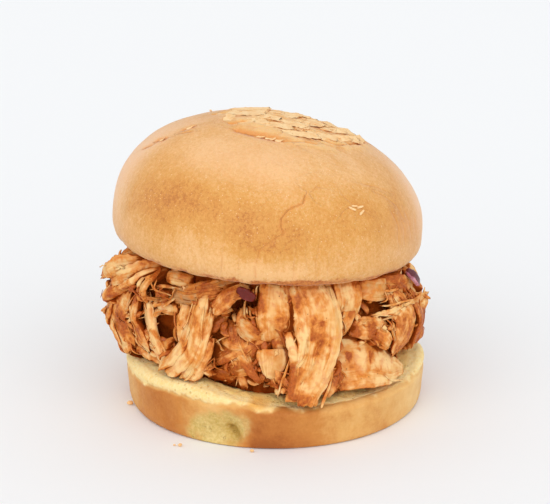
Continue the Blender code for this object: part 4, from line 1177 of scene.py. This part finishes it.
# %% Filling shreds
FRONT_FILLERS, BACK_FILLERS = 30, 84
# how the middle swells or shrinks: angle, spread in degrees and mm
CORE_SHIFTS = [(-17, 15, -7), (-3, 12, -2), (-80, 26, 9), (74, 24, 4)]
filler_draw = random.Random(11)
filler_paths = []
for index in range(FRONT_FILLERS + BACK_FILLERS):
    if index < FRONT_FILLERS:
        angle = (index * 0.618 % 1 - 0.5) * 156 + filler_draw.uniform(-5, 5)
    else:
        angle = 180 + (index * 0.618 % 1 - 0.5) * 222 + filler_draw.uniform(-5, 5)
        angle = (angle + 180) % 360 - 180
    at_front = float(smoothstep(-82, -62, -abs(angle)))
    reach_out = filler_draw.uniform(46.5, 49.5) - 4.5 * at_front
    reach_out += 0.7 * (1 - at_front) * max(0, float(bumps(np.array(angle), CORE_SHIFTS))) / MM
    lowest, highest = 19 + 5 * at_front, float(under_top(heap_point(angle, 0, 42))) / MM - 8
    tall = lowest + (highest - lowest) * ((index * 0.7549 + 0.3) % 1)
    drop = filler_draw.uniform(-16, 16)
    sweep = filler_draw.choice((-1, 1)) * filler_draw.uniform(4, 16)
    flare = filler_draw.uniform(-4, 2.5) * (1 - at_front)
    path = [(angle - sweep, tall + drop / 2, reach_out - 5), (angle, tall, reach_out - 1),
            (angle + sweep, tall - drop / 2, reach_out + flare - 1)]
    wide, thick, turn = (filler_draw.uniform(*limits) for limits in ((6, 11.5), (3.4, 5), (-35, 35)))
    filler_paths.append((path, wide, thick, turn))
look = random.Random(23)
filler_skins = []
for index, (path, width, thickness, turn) in enumerate(filler_paths):
    if index == FRONT_FILLERS:
        front_count = len(filler_skins)
    tone = look.choice((0.0, 0.0, 0.1, 0.2, 0.3, 0.6))
    kind = look.choice(("strand", "strand", "flap", "plank"))
    sauce = look.uniform(0.2, 0.7)
    filler_skins += shred(path, width, thickness, turn, tone, sauce, look, kind, fineness=0.8)
print("filling skins:", len(filler_skins))

# %% The hidden middle
CORE_RADIUS = 44 * MM
CORE_ROWS = 40
core_side = [
    (0.97 + 0.03 * math.sin(math.pi * row / CORE_ROWS), row / CORE_ROWS) for row in range(CORE_ROWS + 1)]
core_floor = [(share, 0) for share in (0.02, 0.5, 0.85)]
core_roof = [(share, 1) for share in (0.85, 0.5, 0.02)]
core_line = np.array([(share * CORE_RADIUS, level) for share, level in core_floor + core_side + core_roof])
core, _ = spun(core_line, angles_round(300, 0.2))
core_level = core[..., 2].copy()
core_reach = np.maximum(np.hypot(core[..., 0], core[..., 1]), 1e-6)
core_angle = front_angle(core)
belly = smoothstep(-0.1, 0.45, core_level) * smoothstep(-0.97, -0.70, -core_level)
grain_at = np.stack([core_angle / 5, core_level * 6, core_reach * 0], -1)
core_relief = 2.0 * swells(grain_at * [1, 1.2, 1], 1, 3) + 1.0 * swells(grain_at, 0.45, 4)
core_ribs = 0.45 * np.abs(swells(grain_at * [2.6, 0.5, 1], 1, 8))
push = MM * (core_relief + core_ribs - 1.2) + bumps(core_angle, CORE_SHIFTS) * belly
outer_share = smoothstep(0.5 * CORE_RADIUS, 0.9 * CORE_RADIUS, core_reach)
core[..., :2] *= (1 + push / core_reach * outer_share)[..., None]
low, high = on_bottom(core) + 0.9 * MM, under_top(core) - 0.9 * MM
core[..., 2] = low + core_level * (high - low)
core_fibre = np.stack([core_level * 38, core_angle * 0.77, core_level * 0 + 5], -1)
core_tone, core_sauce = 0.5 + 0.3 * swells(grain_at, 1.3, 5), 0.85 + 0.25 * swells(grain_at, 1.1, 6)
# the middle's third mark starts deep, so the finish paints it in shade
core_meat = np.stack([core_tone, core_sauce, np.full_like(core_level, 0.8)], -1)
core_skin = skin(core, {"fibre": core_fibre, "meat": core_meat}, (4, 1.2))

# %% [markdown]
# ## Pulled chicken: scraps and depth
# Small torn scraps and thin threads lie all over a heap, where the bigger pieces leave them. They need to
# know how far out the heap reaches at each place, so the points of the bigger pieces are sorted into bins
# by angle and height. The same bins tell how deep any point lies, and a grid of cells tells how close other
# surfaces stand. Deep and crowded places gather sauce and juice, and the finish darkens them further with
# painted shade.

# %% How far out the heap reaches
BIN_ANGLE, BIN_HEIGHT = 3.0, 2.0  # degrees and mm


def bins(points):
    across = ((front_angle(points) + 180) / BIN_ANGLE).astype(int) % int(360 / BIN_ANGLE)
    return across, np.clip(points[..., 2] / MM / BIN_HEIGHT, 0, 34).astype(int)


def outer_reach(skins):
    """The greatest reach in each bin, in mm, smoothed over its neighbours."""
    reach = np.full((int(360 / BIN_ANGLE), 35), 40.0)
    for made in skins:
        points = made["points"]
        np.maximum.at(reach, bins(points), np.hypot(points[:, 0], points[:, 1]) / MM)
    for _ in range(2):
        beside = sum(np.roll(reach, step, 0) for step in (-1, 0, 1)) / 3
        padded = np.pad(beside, ((0, 0), (1, 1)), "edge")
        mean = (padded[:, :-2] + padded[:, 1:-1] + padded[:, 2:]) / 3
        reach = np.maximum(reach * 0.5 + 0.5 * mean, reach * 0.9)
    return reach


bigger = [made for skins in main_skins.values() for made in skins] + filler_skins
reach_map = outer_reach(bigger)
print("the heap reaches out", round(float(reach_map.min())), "to", round(float(reach_map.max())), "mm")

# %% Scraps, threads and crumbs
SMOOTH_PLACES = [  # angle, height and half sizes
    (15, 36, 9, 19), (0, 45, 6, 9), (38, 27, 13, 9), (-1, 29, 6, 6), (-36, 27, 9, 9),
]
CROWDED_PLACES = [
    (-14, 40, 9, 6), (-16, 24, 12, 6), (-44, 49, 16, 4), (44, 36, 8, 4), (58, 45, 10, 6), (24, 22, 3, 5),
    (2, 22, 6, 3), (-58, 34, 10, 9),
]
scrap_draw = random.Random(41)


def scrap_place():
    """An angle and height for a scrap: in a crowded place, or anywhere but on the smooth pieces."""
    while True:
        if scrap_draw.random() < 0.33:
            angle, tall, wide, high = scrap_draw.choice(CROWDED_PLACES)
            return angle + scrap_draw.uniform(-wide, wide), tall + scrap_draw.uniform(-high, high)
        angle = scrap_draw.choice((scrap_draw.uniform(80, 275), scrap_draw.uniform(-95, 90)))
        tall = scrap_draw.uniform(19, 54)
        angle = (angle + 180) % 360 - 180
        if all(math.hypot((angle - at) / wide, (tall - up) / high) > 1
               for at, up, wide, high in SMOOTH_PLACES):
            return angle, tall


SCRAP_KINDS = {  # share of them, length, width, thickness by width, and the skin's settings
    "thread": (
        0.33, (4, 11), (0.5, 0.9), (0.6, 0.9),
        dict(around=8, lumps=0.1, ribs=0.03, torn=0.4, taper=0.6, ragged=0.1)),
    "flake": (
        0.40, (3, 8), (1.3, 3.4), (0.35, 0.6),
        dict(around=14, lumps=0.25, ribs=0.08, torn=0.9, taper=0.4, ragged=0.4, power=1.0)),
    "crumb": (
        0.27, (1.6, 3.4), (1.2, 2.6), (0.6, 0.9),
        dict(around=12, lumps=0.35, ribs=0.04, torn=0.6, taper=0.4, ragged=0.4)),
}
scraps = []
for index in range(520):
    angle, tall = scrap_place()
    kind = scrap_draw.choices(list(SCRAP_KINDS), [made[0] for made in SCRAP_KINDS.values()])[0]
    _, lengths, widths, flatness, settings = SCRAP_KINDS[kind]
    length, width = scrap_draw.uniform(*lengths), scrap_draw.uniform(*widths)
    lean, curl = scrap_draw.gauss(0, 0.9), scrap_draw.uniform(-0.25, 0.25) * length
    spots = []
    for step in (-1, -0.35, 0.35, 1):
        bow = curl * (1 - step**2)
        turned = angle + (length / 2 * step * math.sin(lean) + bow * math.cos(lean)) / 0.85
        up = min(56, max(17, tall - length / 2 * step * math.cos(lean) + bow * math.sin(lean)))
        here = reach_map[int((turned + 180) / BIN_ANGLE) % int(360 / BIN_ANGLE), int(up / BIN_HEIGHT)]
        spots.append((turned, up, here - (1.9 if abs(step) == 1 else 0.7) - 0.3 * width))
    line = curve_through([heap_point(*spot) for spot in spots], max(6, int(length / 0.6)))
    frames = frames_along(line, scrap_draw.uniform(-40, 40), scrap_draw.uniform(-50, 50))
    tone = scrap_draw.choice((0, 0, 0.1, 0.2, 0.35, 0.6))
    thickness, seed = width * scrap_draw.uniform(*flatness), scrap_draw.uniform(0, 90)
    sauce = scrap_draw.uniform(0.0, 0.7)
    scraps.append(bundle(line, frames, width, thickness, seed, tone, sauce, **settings))
print("scraps:", len(scraps))

# %% Facings of a skin's points
def facings(made):
    """The way each point of a skin faces, from the faces that meet there."""
    points, quads = made["points"], made["quads"]
    a, b, c, d = (points[quads[:, corner]] for corner in range(4))
    normal = np.cross(c - a, d - b)
    total = np.zeros_like(points)
    for corner in range(4):
        for part in range(3):
            total[:, part] += np.bincount(quads[:, corner], normal[:, part], len(points))
    return unit(total)


# %% How crowded the heap is
CELL = 0.8 * MM


def crowd_map(skins):
    """A grid of small cells that holds how full of surfaces the neighbourhood of each cell is, and its
    corner."""
    points = np.concatenate([made["points"] for made in skins])
    corner = points.min(0) - 6 * MM
    shape = ((points.max(0) + 6 * MM - corner) / CELL).astype(int) + 1
    full = np.zeros(shape, np.float32)
    full[tuple(((points - corner) / CELL).astype(int).T)] = 1
    for _ in range(2):
        for axis in range(3):
            full = (np.roll(full, 1, axis) + full + np.roll(full, -1, axis)) / 3
    return full, corner


def crowding(made, full, corner):
    """0 where a skin lies open, and 1 where other surfaces stand close in front of it."""
    out = facings(made)
    seen = 0
    for step, share in ((1.7, 0.35), (3.0, 0.35), (4.6, 0.30)):
        cells = ((made["points"] + out * step * MM - corner) / CELL).astype(int)
        seen = seen + share * full[tuple(np.clip(cells, 0, np.array(full.shape) - 1).T)]
    return smoothstep(0.05, 0.34, seen)


# %% Where sauce has pooled, where the meat is clean, and painted shade in holes
HEAP_SPOTS = [  # angle, height, spread in degrees and in mm, and what it adds to the sauce and to the tone
    (14, 53.0, 6, 2.6, 0.45, 0), (9, 45, 1.3, 8, 0.45, 0), (12.9, 39.6, 2.2, 2.4, 0.8, 0),
    (18, 43, 1.1, 1.2, 1.1, 0.5), (13.8, 33.5, 3, 2.6, 0.35, 0),
    (9.5, 26.5, 2.5, 2.5, 0.25, 0), (7, 19, 2.5, 2, 0.35, 0), (16.5, 47.5, 1.5, 3, -0.6, 0),
    (22.5, 42, 2.4, 12, -0.5, 0), (17, 23, 4, 4, -0.15, 0),
    (-1, 48, 3, 6, -0.35, 0), (5, 46, 1.3, 7, 0.35, 0), (4, 40.5, 2.2, 2.4, 0.45, 0),
    (-6.5, 49, 2, 3.5, 0.55, 0), (-11, 50, 2.2, 2.5, 0.6, 0),
    (-1, 37, 4, 2.6, -0.3, 0), (-24, 39, 2.5, 2.5, 0.8, 0), (-12, 39, 4, 4, 0.05, 0.2),
    (-9, 23.3, 2.5, 1.5, 0.8, 0), (6, 23, 2, 4, 0.8, 0),
    (-31.5, 40, 1.8, 2.5, 0.6, 0), (-28, 44, 2.5, 5, -0.15, 0), (-38, 27, 7, 5, -0.3, 0),
    (-37.4, 22.6, 2.2, 1.2, 0.9, 0), (-25, 25, 3, 4, 0.5, 0.2),
    (-1, 35.6, 5, 1.3, 0.9, 0.3), (-8.2, 30, 1.4, 4, 0.8, 0.2), (6.2, 30, 1.2, 4, 0.7, 0.2),
    (-2, 22, 5, 1.3, 0.8, 0.2),
    # These three darken the chunk at the right where it has holes: painted shade, as the shape has no holes
    # there.
    (31.4, 29.1, 1.1, 0.9, 1.5, 1.0), (36.3, 30.2, 0.9, 0.6, 1.4, 1.0), (41, 28, 0.6, 0.5, 1.0, 0.6),
    (32, 36, 6, 1.5, 0.45, 0), (43, 25, 3, 2.5, 0.5, 0), (26, 29, 1.6, 4, 0.4, 0), (29, 20, 4, 2.4, 0.55, 0),
    (52, 17, 7, 2, -0.3, 0), (35, 27, 5, 4, -0.1, 0),
    (-70, 33, 3, 7, 0.5, 0.1), (-59, 44, 3, 3, 0.4, 0), (-88, 43, 5, 2, 0.5, 0.1), (-90, 47, 5, 3, 0.5, 0.1),
    (-63, 35, 2.5, 6, -0.2, 0), (-86, 30, 4, 5, -0.35, 0),
    (54, 33, 2.5, 5, 0.35, 0), (60, 38, 3, 4, -0.1, 0), (46, 53, 8, 3, 0.6, 0.3), (60, 48, 3, 2.5, 0.7, 0.2),
    (28, 52, 4, 2.5, 0.45, 0), (38, 51, 3, 2, 0.4, 0.1),
]


def spot_sums(points):
    """What the spots add to sauce and tone at each point."""
    angle, height = front_angle(points), points[:, 2] / MM
    total = np.zeros((2, len(points)))
    for at, tall, wide, high, more_sauce, more_tone in HEAP_SPOTS:
        near = np.exp(-(((angle - at) / wide) ** 2) - ((height - tall) / high) ** 2)
        total += near * np.array([[more_sauce], [more_tone]])
    return total


# %% Depth in the heap, for sauce and painted shade
bun_skins = [skin(rings, {}, (1, 1)) for rings in (top_rings, bottom_rings)]
bodies = [skins[0] for skins in main_skins.values()] + [made for made in filler_skins if made["size"][0] > 8]
full, corner = crowd_map(bodies + [core_skin] + bun_skins)
open_share = []
for made in bigger + scraps + [core_skin]:
    points = made["points"]
    gap = reach_map[bins(points)] - np.hypot(points[:, 0], points[:, 1]) / MM
    # depth: partly where sauce pools, partly painted shade in crevices and under neighbouring pieces
    depth = np.maximum(0.8 * smoothstep(2.5, 9.0, gap), crowding(made, full, corner))
    more_sauce, more_tone = spot_sums(points)
    made["marks"]["meat"] += np.stack([more_tone, more_sauce, depth], -1)
    open_share.append(float((depth < 0.2).mean()))
print("share of the meat that lies open:", round(sum(open_share) / len(open_share), 2))

# %% [markdown]
# ## Pulled chicken: finish
# Breast meat is cream, thigh meat is grey-brown, and both show fine streaks along the fibre, with painted
# highlights on some fibres. Thin sauce stains them orange and thick sauce lies red-brown in the grooves and
# the deep places, where it is wet and glossy. The deep places are darkened further with painted shade.
# Pepper and spice show as small dark specks. The fibre mark runs along each shred, so noise stretched along
# it makes the streaks.

# %% Sauced chicken
chicken = Finish(
    "sauced pulled chicken", Subsurface_Weight=0.20, Subsurface_Scale=0.0012,
    Subsurface_Radius=(1.0, 0.7, 0.45), Coat_Roughness=0.19, Coat_IOR=1.45, Specular_IOR_Level=0.0)
place = chicken.place()
_, _, _, fibre = chicken.mark("fibre")
tone_mark, sauce_mark, depth_shade_mark, _ = chicken.mark("meat")
streaks = chicken.clouds(fibre.times((0.10, 0.9, 1.0)), 1.2, 3, 0.6)
fibre_highlight_lines = chicken.clouds(fibre.times((0.22, 2.6, 1.0)), 1.0, 2, 0.5)
patches = chicken.clouds(place, 7.5 * MM, 2, 0.5, 0.6)
small_patches = chicken.clouds(place, 2.8 * MM, 2, 0.5, 0.5)
specky = chicken.clouds(place, 0.8 * MM, 2, 0.6)
tone = (tone_mark + (patches - 0.5) * 0.4 + (streaks - 0.5) * 0.3).rise(-0.05, 1.05)
gold = 0.35 * patches + 0.40 * streaks + 0.25 * small_patches
breast = chicken.mix(gold.rise(0.40, 0.60), (0.93, 0.60, 0.265), (0.80, 0.36, 0.095))
thigh = chicken.mix(streaks.rise(0.35, 0.65), (0.50, 0.22, 0.080), (0.27, 0.090, 0.024))
cover = sauce_mark + 0.32 + (patches - 0.5) * 2.8 + (small_patches - 0.5) * 1.4
# deep places take more sauce, partly as painted shade
cover = cover + (streaks - 0.5) * 0.7 + depth_shade_mark * 0.6
thin = cover.rise(0.05, 0.75)
thick = cover.rise(0.58, 1.15)
vein_lines = abs(chicken.clouds(fibre.times((0.13, 0.75, 1.0)), 1.0, 2, 0.5, 0.3) - 0.5)
veins = (vein_lines + (specky - 0.5) * 0.05).rise(0.03, 0.0)
pepper = chicken.dots(place, 2.6 * MM, 0.26 * MM) * chicken.clouds(place, 8 * MM).rise(0.40, 0.58)
sauced = chicken.over(breast, [
    (small_patches.rise(0.52, 0.66) * 0.5, (0.80, 0.37, 0.175)),
    (tone, thigh),
    # painted highlights along some fibres
    (fibre_highlight_lines.rise(0.56, 0.80) * 0.28, (0.97, 0.72, 0.35)),
    (thin * 0.80, chicken.mix(specky.rise(0.3, 0.7), (0.80, 0.29, 0.048), (0.66, 0.175, 0.024))),
    (thick * 0.80, chicken.mix(specky.rise(0.35, 0.7), (0.46, 0.085, 0.009), (0.29, 0.042, 0.004))),
    (veins * (0.04 + 0.30 * thin), (0.50, 0.13, 0.02)),
    # painted shade in the deep and crowded places
    (depth_shade_mark.rise(0.12, 0.85) * 0.85, (0.27, 0.045, 0.004)),
    (pepper * 0.75, (0.13, 0.04, 0.015)),
])
chicken.wear("Base Color", sauced)
chicken.wear("Roughness", 0.46 - 0.18 * thin + (fibre_highlight_lines - 0.5) * 0.2)
chicken.wear("Coat Weight", (0.12 + 0.30 * thick) * (1 - depth_shade_mark.rise(0.1, 0.7)))
grooves = 0.55 * streaks + 0.35 * fibre_highlight_lines + 0.10 * specky
chicken.wear("Normal", chicken.relief(grooves, 0.20 * MM))

# %% The heap's pieces
LEFT_END, RIGHT_START = -30, 20  # in degrees round the front
heap_pieces = {"chicken_left": [], "chicken_middle": [], "chicken_right": []}
for name, _, path, *_ in MAIN_PIECES:
    middle = path[1][0]
    side = "left" if middle < LEFT_END else "right" if middle > RIGHT_START else "middle"
    heap_pieces[f"chicken_{side}"] += main_skins[name]
heap_pieces["chicken_filling_front"] = filler_skins[:front_count]
heap_pieces["chicken_filling_back"] = filler_skins[front_count:]
heap_pieces["chicken_scraps"] = scraps
heap_pieces["chicken_middle_mass"] = [core_skin]
for name, skins in heap_pieces.items():
    new_piece(name, skins, chicken.material, "pulled_chicken")

# %% [markdown]
# ## Bun top: loose flakes
# Over the crest the dried skin has come away in plates with lifted, broken edges. A plate is the same kind
# of narrow skin as a shred, only flat and thin, so the shred's function makes it: a line laid over the dome
# gives its middle, and the dome's own facing says which way is out. A displaced surface could not overhang
# like this.

# %% Plates over the crest
def dome_facing(place):
    """The way the upright dome faces at a place on it."""
    reach = max(math.hypot(place[0], place[1]), 1e-6)
    across = (reach / TOP_RADIUS) ** (DOME_POWER - 1) / TOP_RADIUS
    upward = max((place[2] - TOP_WAIST) / DOME_HEIGHT, 0) ** (DOME_POWER - 1) / DOME_HEIGHT
    return unit(np.array([across * place[0] / reach, across * place[1] / reach, upward]))


PLATE_THICKNESS = 0.38  # in mm


def plate(x, y, length, width, turn, lift, seed):
    """A thin plate of crust over a place on the dome's plan, lifted at its far end and with its sides bowed
    up. Sizes are in mm."""
    rows = max(8, int(length / 0.55))
    way = np.array([math.cos(math.radians(turn)), math.sin(math.radians(turn))])
    ups, outs = [], []
    for step in np.linspace(-0.5, 0.5, rows):
        spot = over_crest(*(np.array([x, y]) + way * length * step))
        facing = dome_facing(spot)
        nearest = ((upright - spot) ** 2).sum(-1).argmin()
        risen = (0.05 + lift * max(0, step + 0.1) ** 2) * MM + 0.8 * crown_relief.flat[nearest]
        ups.append(spot + facing * risen)
        outs.append(facing)
    line = set_on_heap(leaned(np.array(ups)))
    tips = set_on_heap(leaned(np.array(ups) + np.array(outs) * MM))
    outward = unit(tips - line)
    ahead = unit(np.gradient(line, axis=0))
    frames = ahead, np.cross(ahead, outward), outward
    return bundle(
        line, frames, width, PLATE_THICKNESS, seed, 0, 0, around=16 + int(2.2 * width), lumps=0.10, ribs=0.02,
        torn=min(1.4, 0.2 * length), taper=0.25, blunt=0.3, power=0.45, ragged=min(0.8, 0.16 * width),
        bow=0.12 * lift, held=False)


PLATES = [  # (x, y) on the plan, length, width, turn in degrees and lift in mm
    (-17, 2, 15, 8, -10, 0.9), (-13, -9, 10, 6, 20, 0.8), (-9.7, -2.4, 11, 6, -15, 1.2),
    (-6, -10.5, 12, 6, 8, 0.8), (-0.8, -5, 10, 5, -25, 1.1),
    (3, -14, 12, 5, 12, 0.7), (5.8, 0.4, 9, 5, 30, 1.3), (10, -10, 10, 5, -8, 0.8), (7.8, 6, 8, 5, -40, 1.1),
    (14.7, 2.2, 9, 5, 15, 1.3),
    (16, -7, 9, 4.5, 40, 0.9), (18.8, 5.2, 9, 5, 60, 1.4), (24, 3, 9, 4, 75, 1.2), (21, -2, 7, 4, 50, 1.0),
    (-4, 9, 14, 8, -35, 1.2),
    (-14, 13, 12, 7, 15, 1.0), (4, 17, 13, 7, 20, 1.1), (15, 14, 12, 7, 70, 1.0), (-21, -6, 7, 3.5, 80, 1.4),
]
plate_draw = random.Random(17)
plates = [plate(*values, plate_draw.uniform(0, 90)) for values in PLATES]
for _ in range(40):  # slivers
    turn, out = plate_draw.uniform(0, math.tau), 21 * math.sqrt(plate_draw.random())
    x, y = 3 + out * math.cos(turn), 5 + out * math.sin(turn)
    length, width = plate_draw.uniform(2.0, 5.5), plate_draw.uniform(0.8, 2.4)
    turn, lift = plate_draw.gauss(10, 40), plate_draw.uniform(0.3, 1.2)
    plates.append(plate(x, y, length, width, turn, lift, plate_draw.uniform(0, 90)))
LOOSE_FLAKES = [  # x and y on the plan and turn: at the edge, along the cracks and at the right
    (-27, 16.6, 100), (-10, -20.6, 5), (-7.5, -21.2, -20), (-6, -21.4, 35), (-4, -22.2, 10),
    (-32.6, -10.8, 20),
    (-40.5, -12, -35), (-18.5, -11.6, 0), (25.0, -39.5, 25), (26.8, -38.6, 40), (24.4, -40.6, 10),
    (27.8, -39.4, 60),
]
for x, y, turn in LOOSE_FLAKES:
    length, width = plate_draw.uniform(1.6, 2.8), plate_draw.uniform(0.7, 1.3)
    plates.append(plate(x, y, length, width, turn, 1.3, plate_draw.uniform(0, 90)))
print("plates over the crest:", len(plates))

# %% Crust of the flakes
flake_crust = Finish("dry flaky crust", Specular_IOR_Level=0.15)
place = flake_crust.place()
_, rim_mark, _, _ = flake_crust.mark("meat")
dry = flake_crust.clouds(place, 4 * MM, 3, 0.6)
grit = flake_crust.clouds(place, 0.7 * MM, 3, 0.6)
crisp = flake_crust.mix((0.6 * dry + 0.4 * grit).rise(0.38, 0.62), (0.89, 0.53, 0.23), (0.96, 0.68, 0.36))
crisp = flake_crust.mix((rim_mark + (grit - 0.5)).rise(0.12, 0.45) * 0.50, crisp, (0.88, 0.42, 0.13))
flake_crust.wear("Base Color", crisp)
flake_crust.wear("Roughness", 0.55 + (grit - 0.5) * 0.3)
flake_crust.wear("Normal", flake_crust.relief(crust_bumps(flake_crust, place), 0.25 * MM))
new_piece("crest_flakes", plates, flake_crust.material, "bun_top")

# %% [markdown]
# ## Red onion
# A slice of red onion is a strip of one layer: dark purple skin on its two broad sides, and pale lilac
# flesh with fine lines between them. It is the same bent, tapered strip as in the solid, with rounded
# edges. The front one is soaked in sauce, so it is maroon all through.

# %% Bent strips of onion
def onion_strip(place, length, depth, thickness, bend, turn, shortened=1.0):
    """A strip bent round an arc, as in the solid. Sizes are in mm, the bend in radians and the turn in
    degrees."""
    rows, around = 60, 40
    steps = np.linspace(-1, 1, rows)[:, None] * np.ones((1, around))
    way = math.tau * np.arange(around) / around
    out, deep = (np.copysign(np.abs(part) ** 0.5, part)[None] for part in (np.cos(way), np.sin(way)))
    taper = (1 - 0.35 * np.abs(steps) ** 2) * (1 - 0.75 * np.abs(steps) ** 12)
    radius = length / bend
    uneven = 0.10 * swells(np.stack([steps * 4, deep * 2 + 0 * steps, out + 0 * steps], -1), 1, 51)
    reach = radius + (out / 2 * thickness + uneven) * taper
    turned = bend / 2 * steps * shortened
    across = (deep / 2 * depth + 2 * uneven) * taper
    points = np.stack([reach * np.sin(turned), radius - reach * np.cos(turned), across], -1) * MM
    about = [Matrix.Rotation(math.radians(angle), 3, axis) for angle, axis in zip(turn, "XYZ")]
    spin = about[2] @ about[1] @ about[0]
    points = points @ np.array(spin.transposed()) + heap_point(*place)
    return skin(points, {"layer": np.stack([out + 0 * steps, deep + 0 * steps, steps], -1)}, (8, 8))


def onion_finish(name, skin_colour, flesh_colour, line_colour):
    """Purple skin, pale flesh and fine lines, told apart by how far through the layer a point lies."""
    finish = Finish(
        name, Subsurface_Weight=0.3, Subsurface_Scale=0.0015, Coat_Weight=0.25, Coat_Roughness=0.12,
        Specular_IOR_Level=0.15)
    through, deep, along, _ = finish.mark("layer")
    place = finish.place()
    cloud = finish.clouds(place, 2.5 * MM, 3, 0.6)
    lines = finish.clouds(place, 0.6 * MM, 2, 0.5)
    flesh = finish.mix((0.5 * lines + 0.5 * cloud).rise(0.42, 0.58), flesh_colour, line_colour)
    skinned = (abs(through) + (cloud - 0.5) * 0.5).rise(0.72, 0.98)
    colour = finish.mix(skinned, flesh, skin_colour)
    colour = finish.mix((deep + (cloud - 0.5) * 0.6).rise(0.55, 0.95) * 0.85, colour, skin_colour)
    colour = finish.mix(abs(along).rise(0.75, 1.0) * 0.6, colour, skin_colour)
    finish.wear("Base Color", colour)
    finish.wear("Roughness", 0.32 + (lines - 0.5) * 0.2)
    finish.wear("Normal", finish.relief(0.5 * lines + 0.5 * cloud, 0.15 * MM))
    return finish.material


purple_onion = onion_finish("red onion", (0.12, 0.016, 0.022), (0.62, 0.30, 0.35), (0.42, 0.14, 0.19))
maroon_onion = onion_finish(
    "sauced red onion", (0.16, 0.016, 0.010), (0.28, 0.040, 0.038), (0.18, 0.020, 0.016))
side_strip = onion_strip((65, 50.4, 52), 8.5, 4.2, 1.6, 0.9, (-60, 50, 12), 0.88)
new_piece("onion_side", [side_strip], purple_onion, "red_onion_side")
front_strip = onion_strip((-12, 52.0, 45.7), 7, 3.7, 1.5, 0.7, (0, 25, -12))
new_piece("onion_front", [front_strip], maroon_onion, "red_onion_front")

# %% [markdown]
# ## Crumbs on the table
# A few crumbs of crust have fallen beside the bun. They are lumpy little skins that lie on the ground.

# %% Crumbs
CRUMBS = [  # x, y and size in mm
    (-31.6, -49.2, 1.4), (-7.6, -53.6, 1.3), (-51.0, -14.0, 2.0), (-33.5, -48.6, 0.8),
]
crumb_skins = []
for number, (x, y, size) in enumerate(CRUMBS):
    tilt = np.linspace(0.12, math.pi - 0.12, 14)[:, None]
    way = math.tau * np.arange(20) / 20
    ball = np.stack([np.sin(tilt) * np.cos(way), np.sin(tilt) * np.sin(way), np.cos(tilt) + 0 * way], -1)
    half_sizes = np.array([size / 2, size * 0.4, size * 0.35]) * MM
    lumpy = ball * (1 + 0.35 * swells(ball + number * 5, 0.9, 61))[..., None] * half_sizes
    lumpy[..., 2] -= lumpy[..., 2].min()
    marks = {"fibre": ball * 3, "meat": np.broadcast_to([0, 0.35, 0], ball.shape)}
    crumb_skins.append(skin(lumpy + np.array([x, y, 0]) * MM, marks, (1, 1)))
new_piece("table_crumbs", crumb_skins, flake_crust.material, None)

# %% [markdown]
# ## Sizes
# The two boxes give the sizes of the solids and of the dressed sandwich.

# %% Write the boxes and finish
dressed_box = [list(corner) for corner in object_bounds()]
print("dressed box, mm:", [[round(value * 1000, 1) for value in corner] for corner in dressed_box])
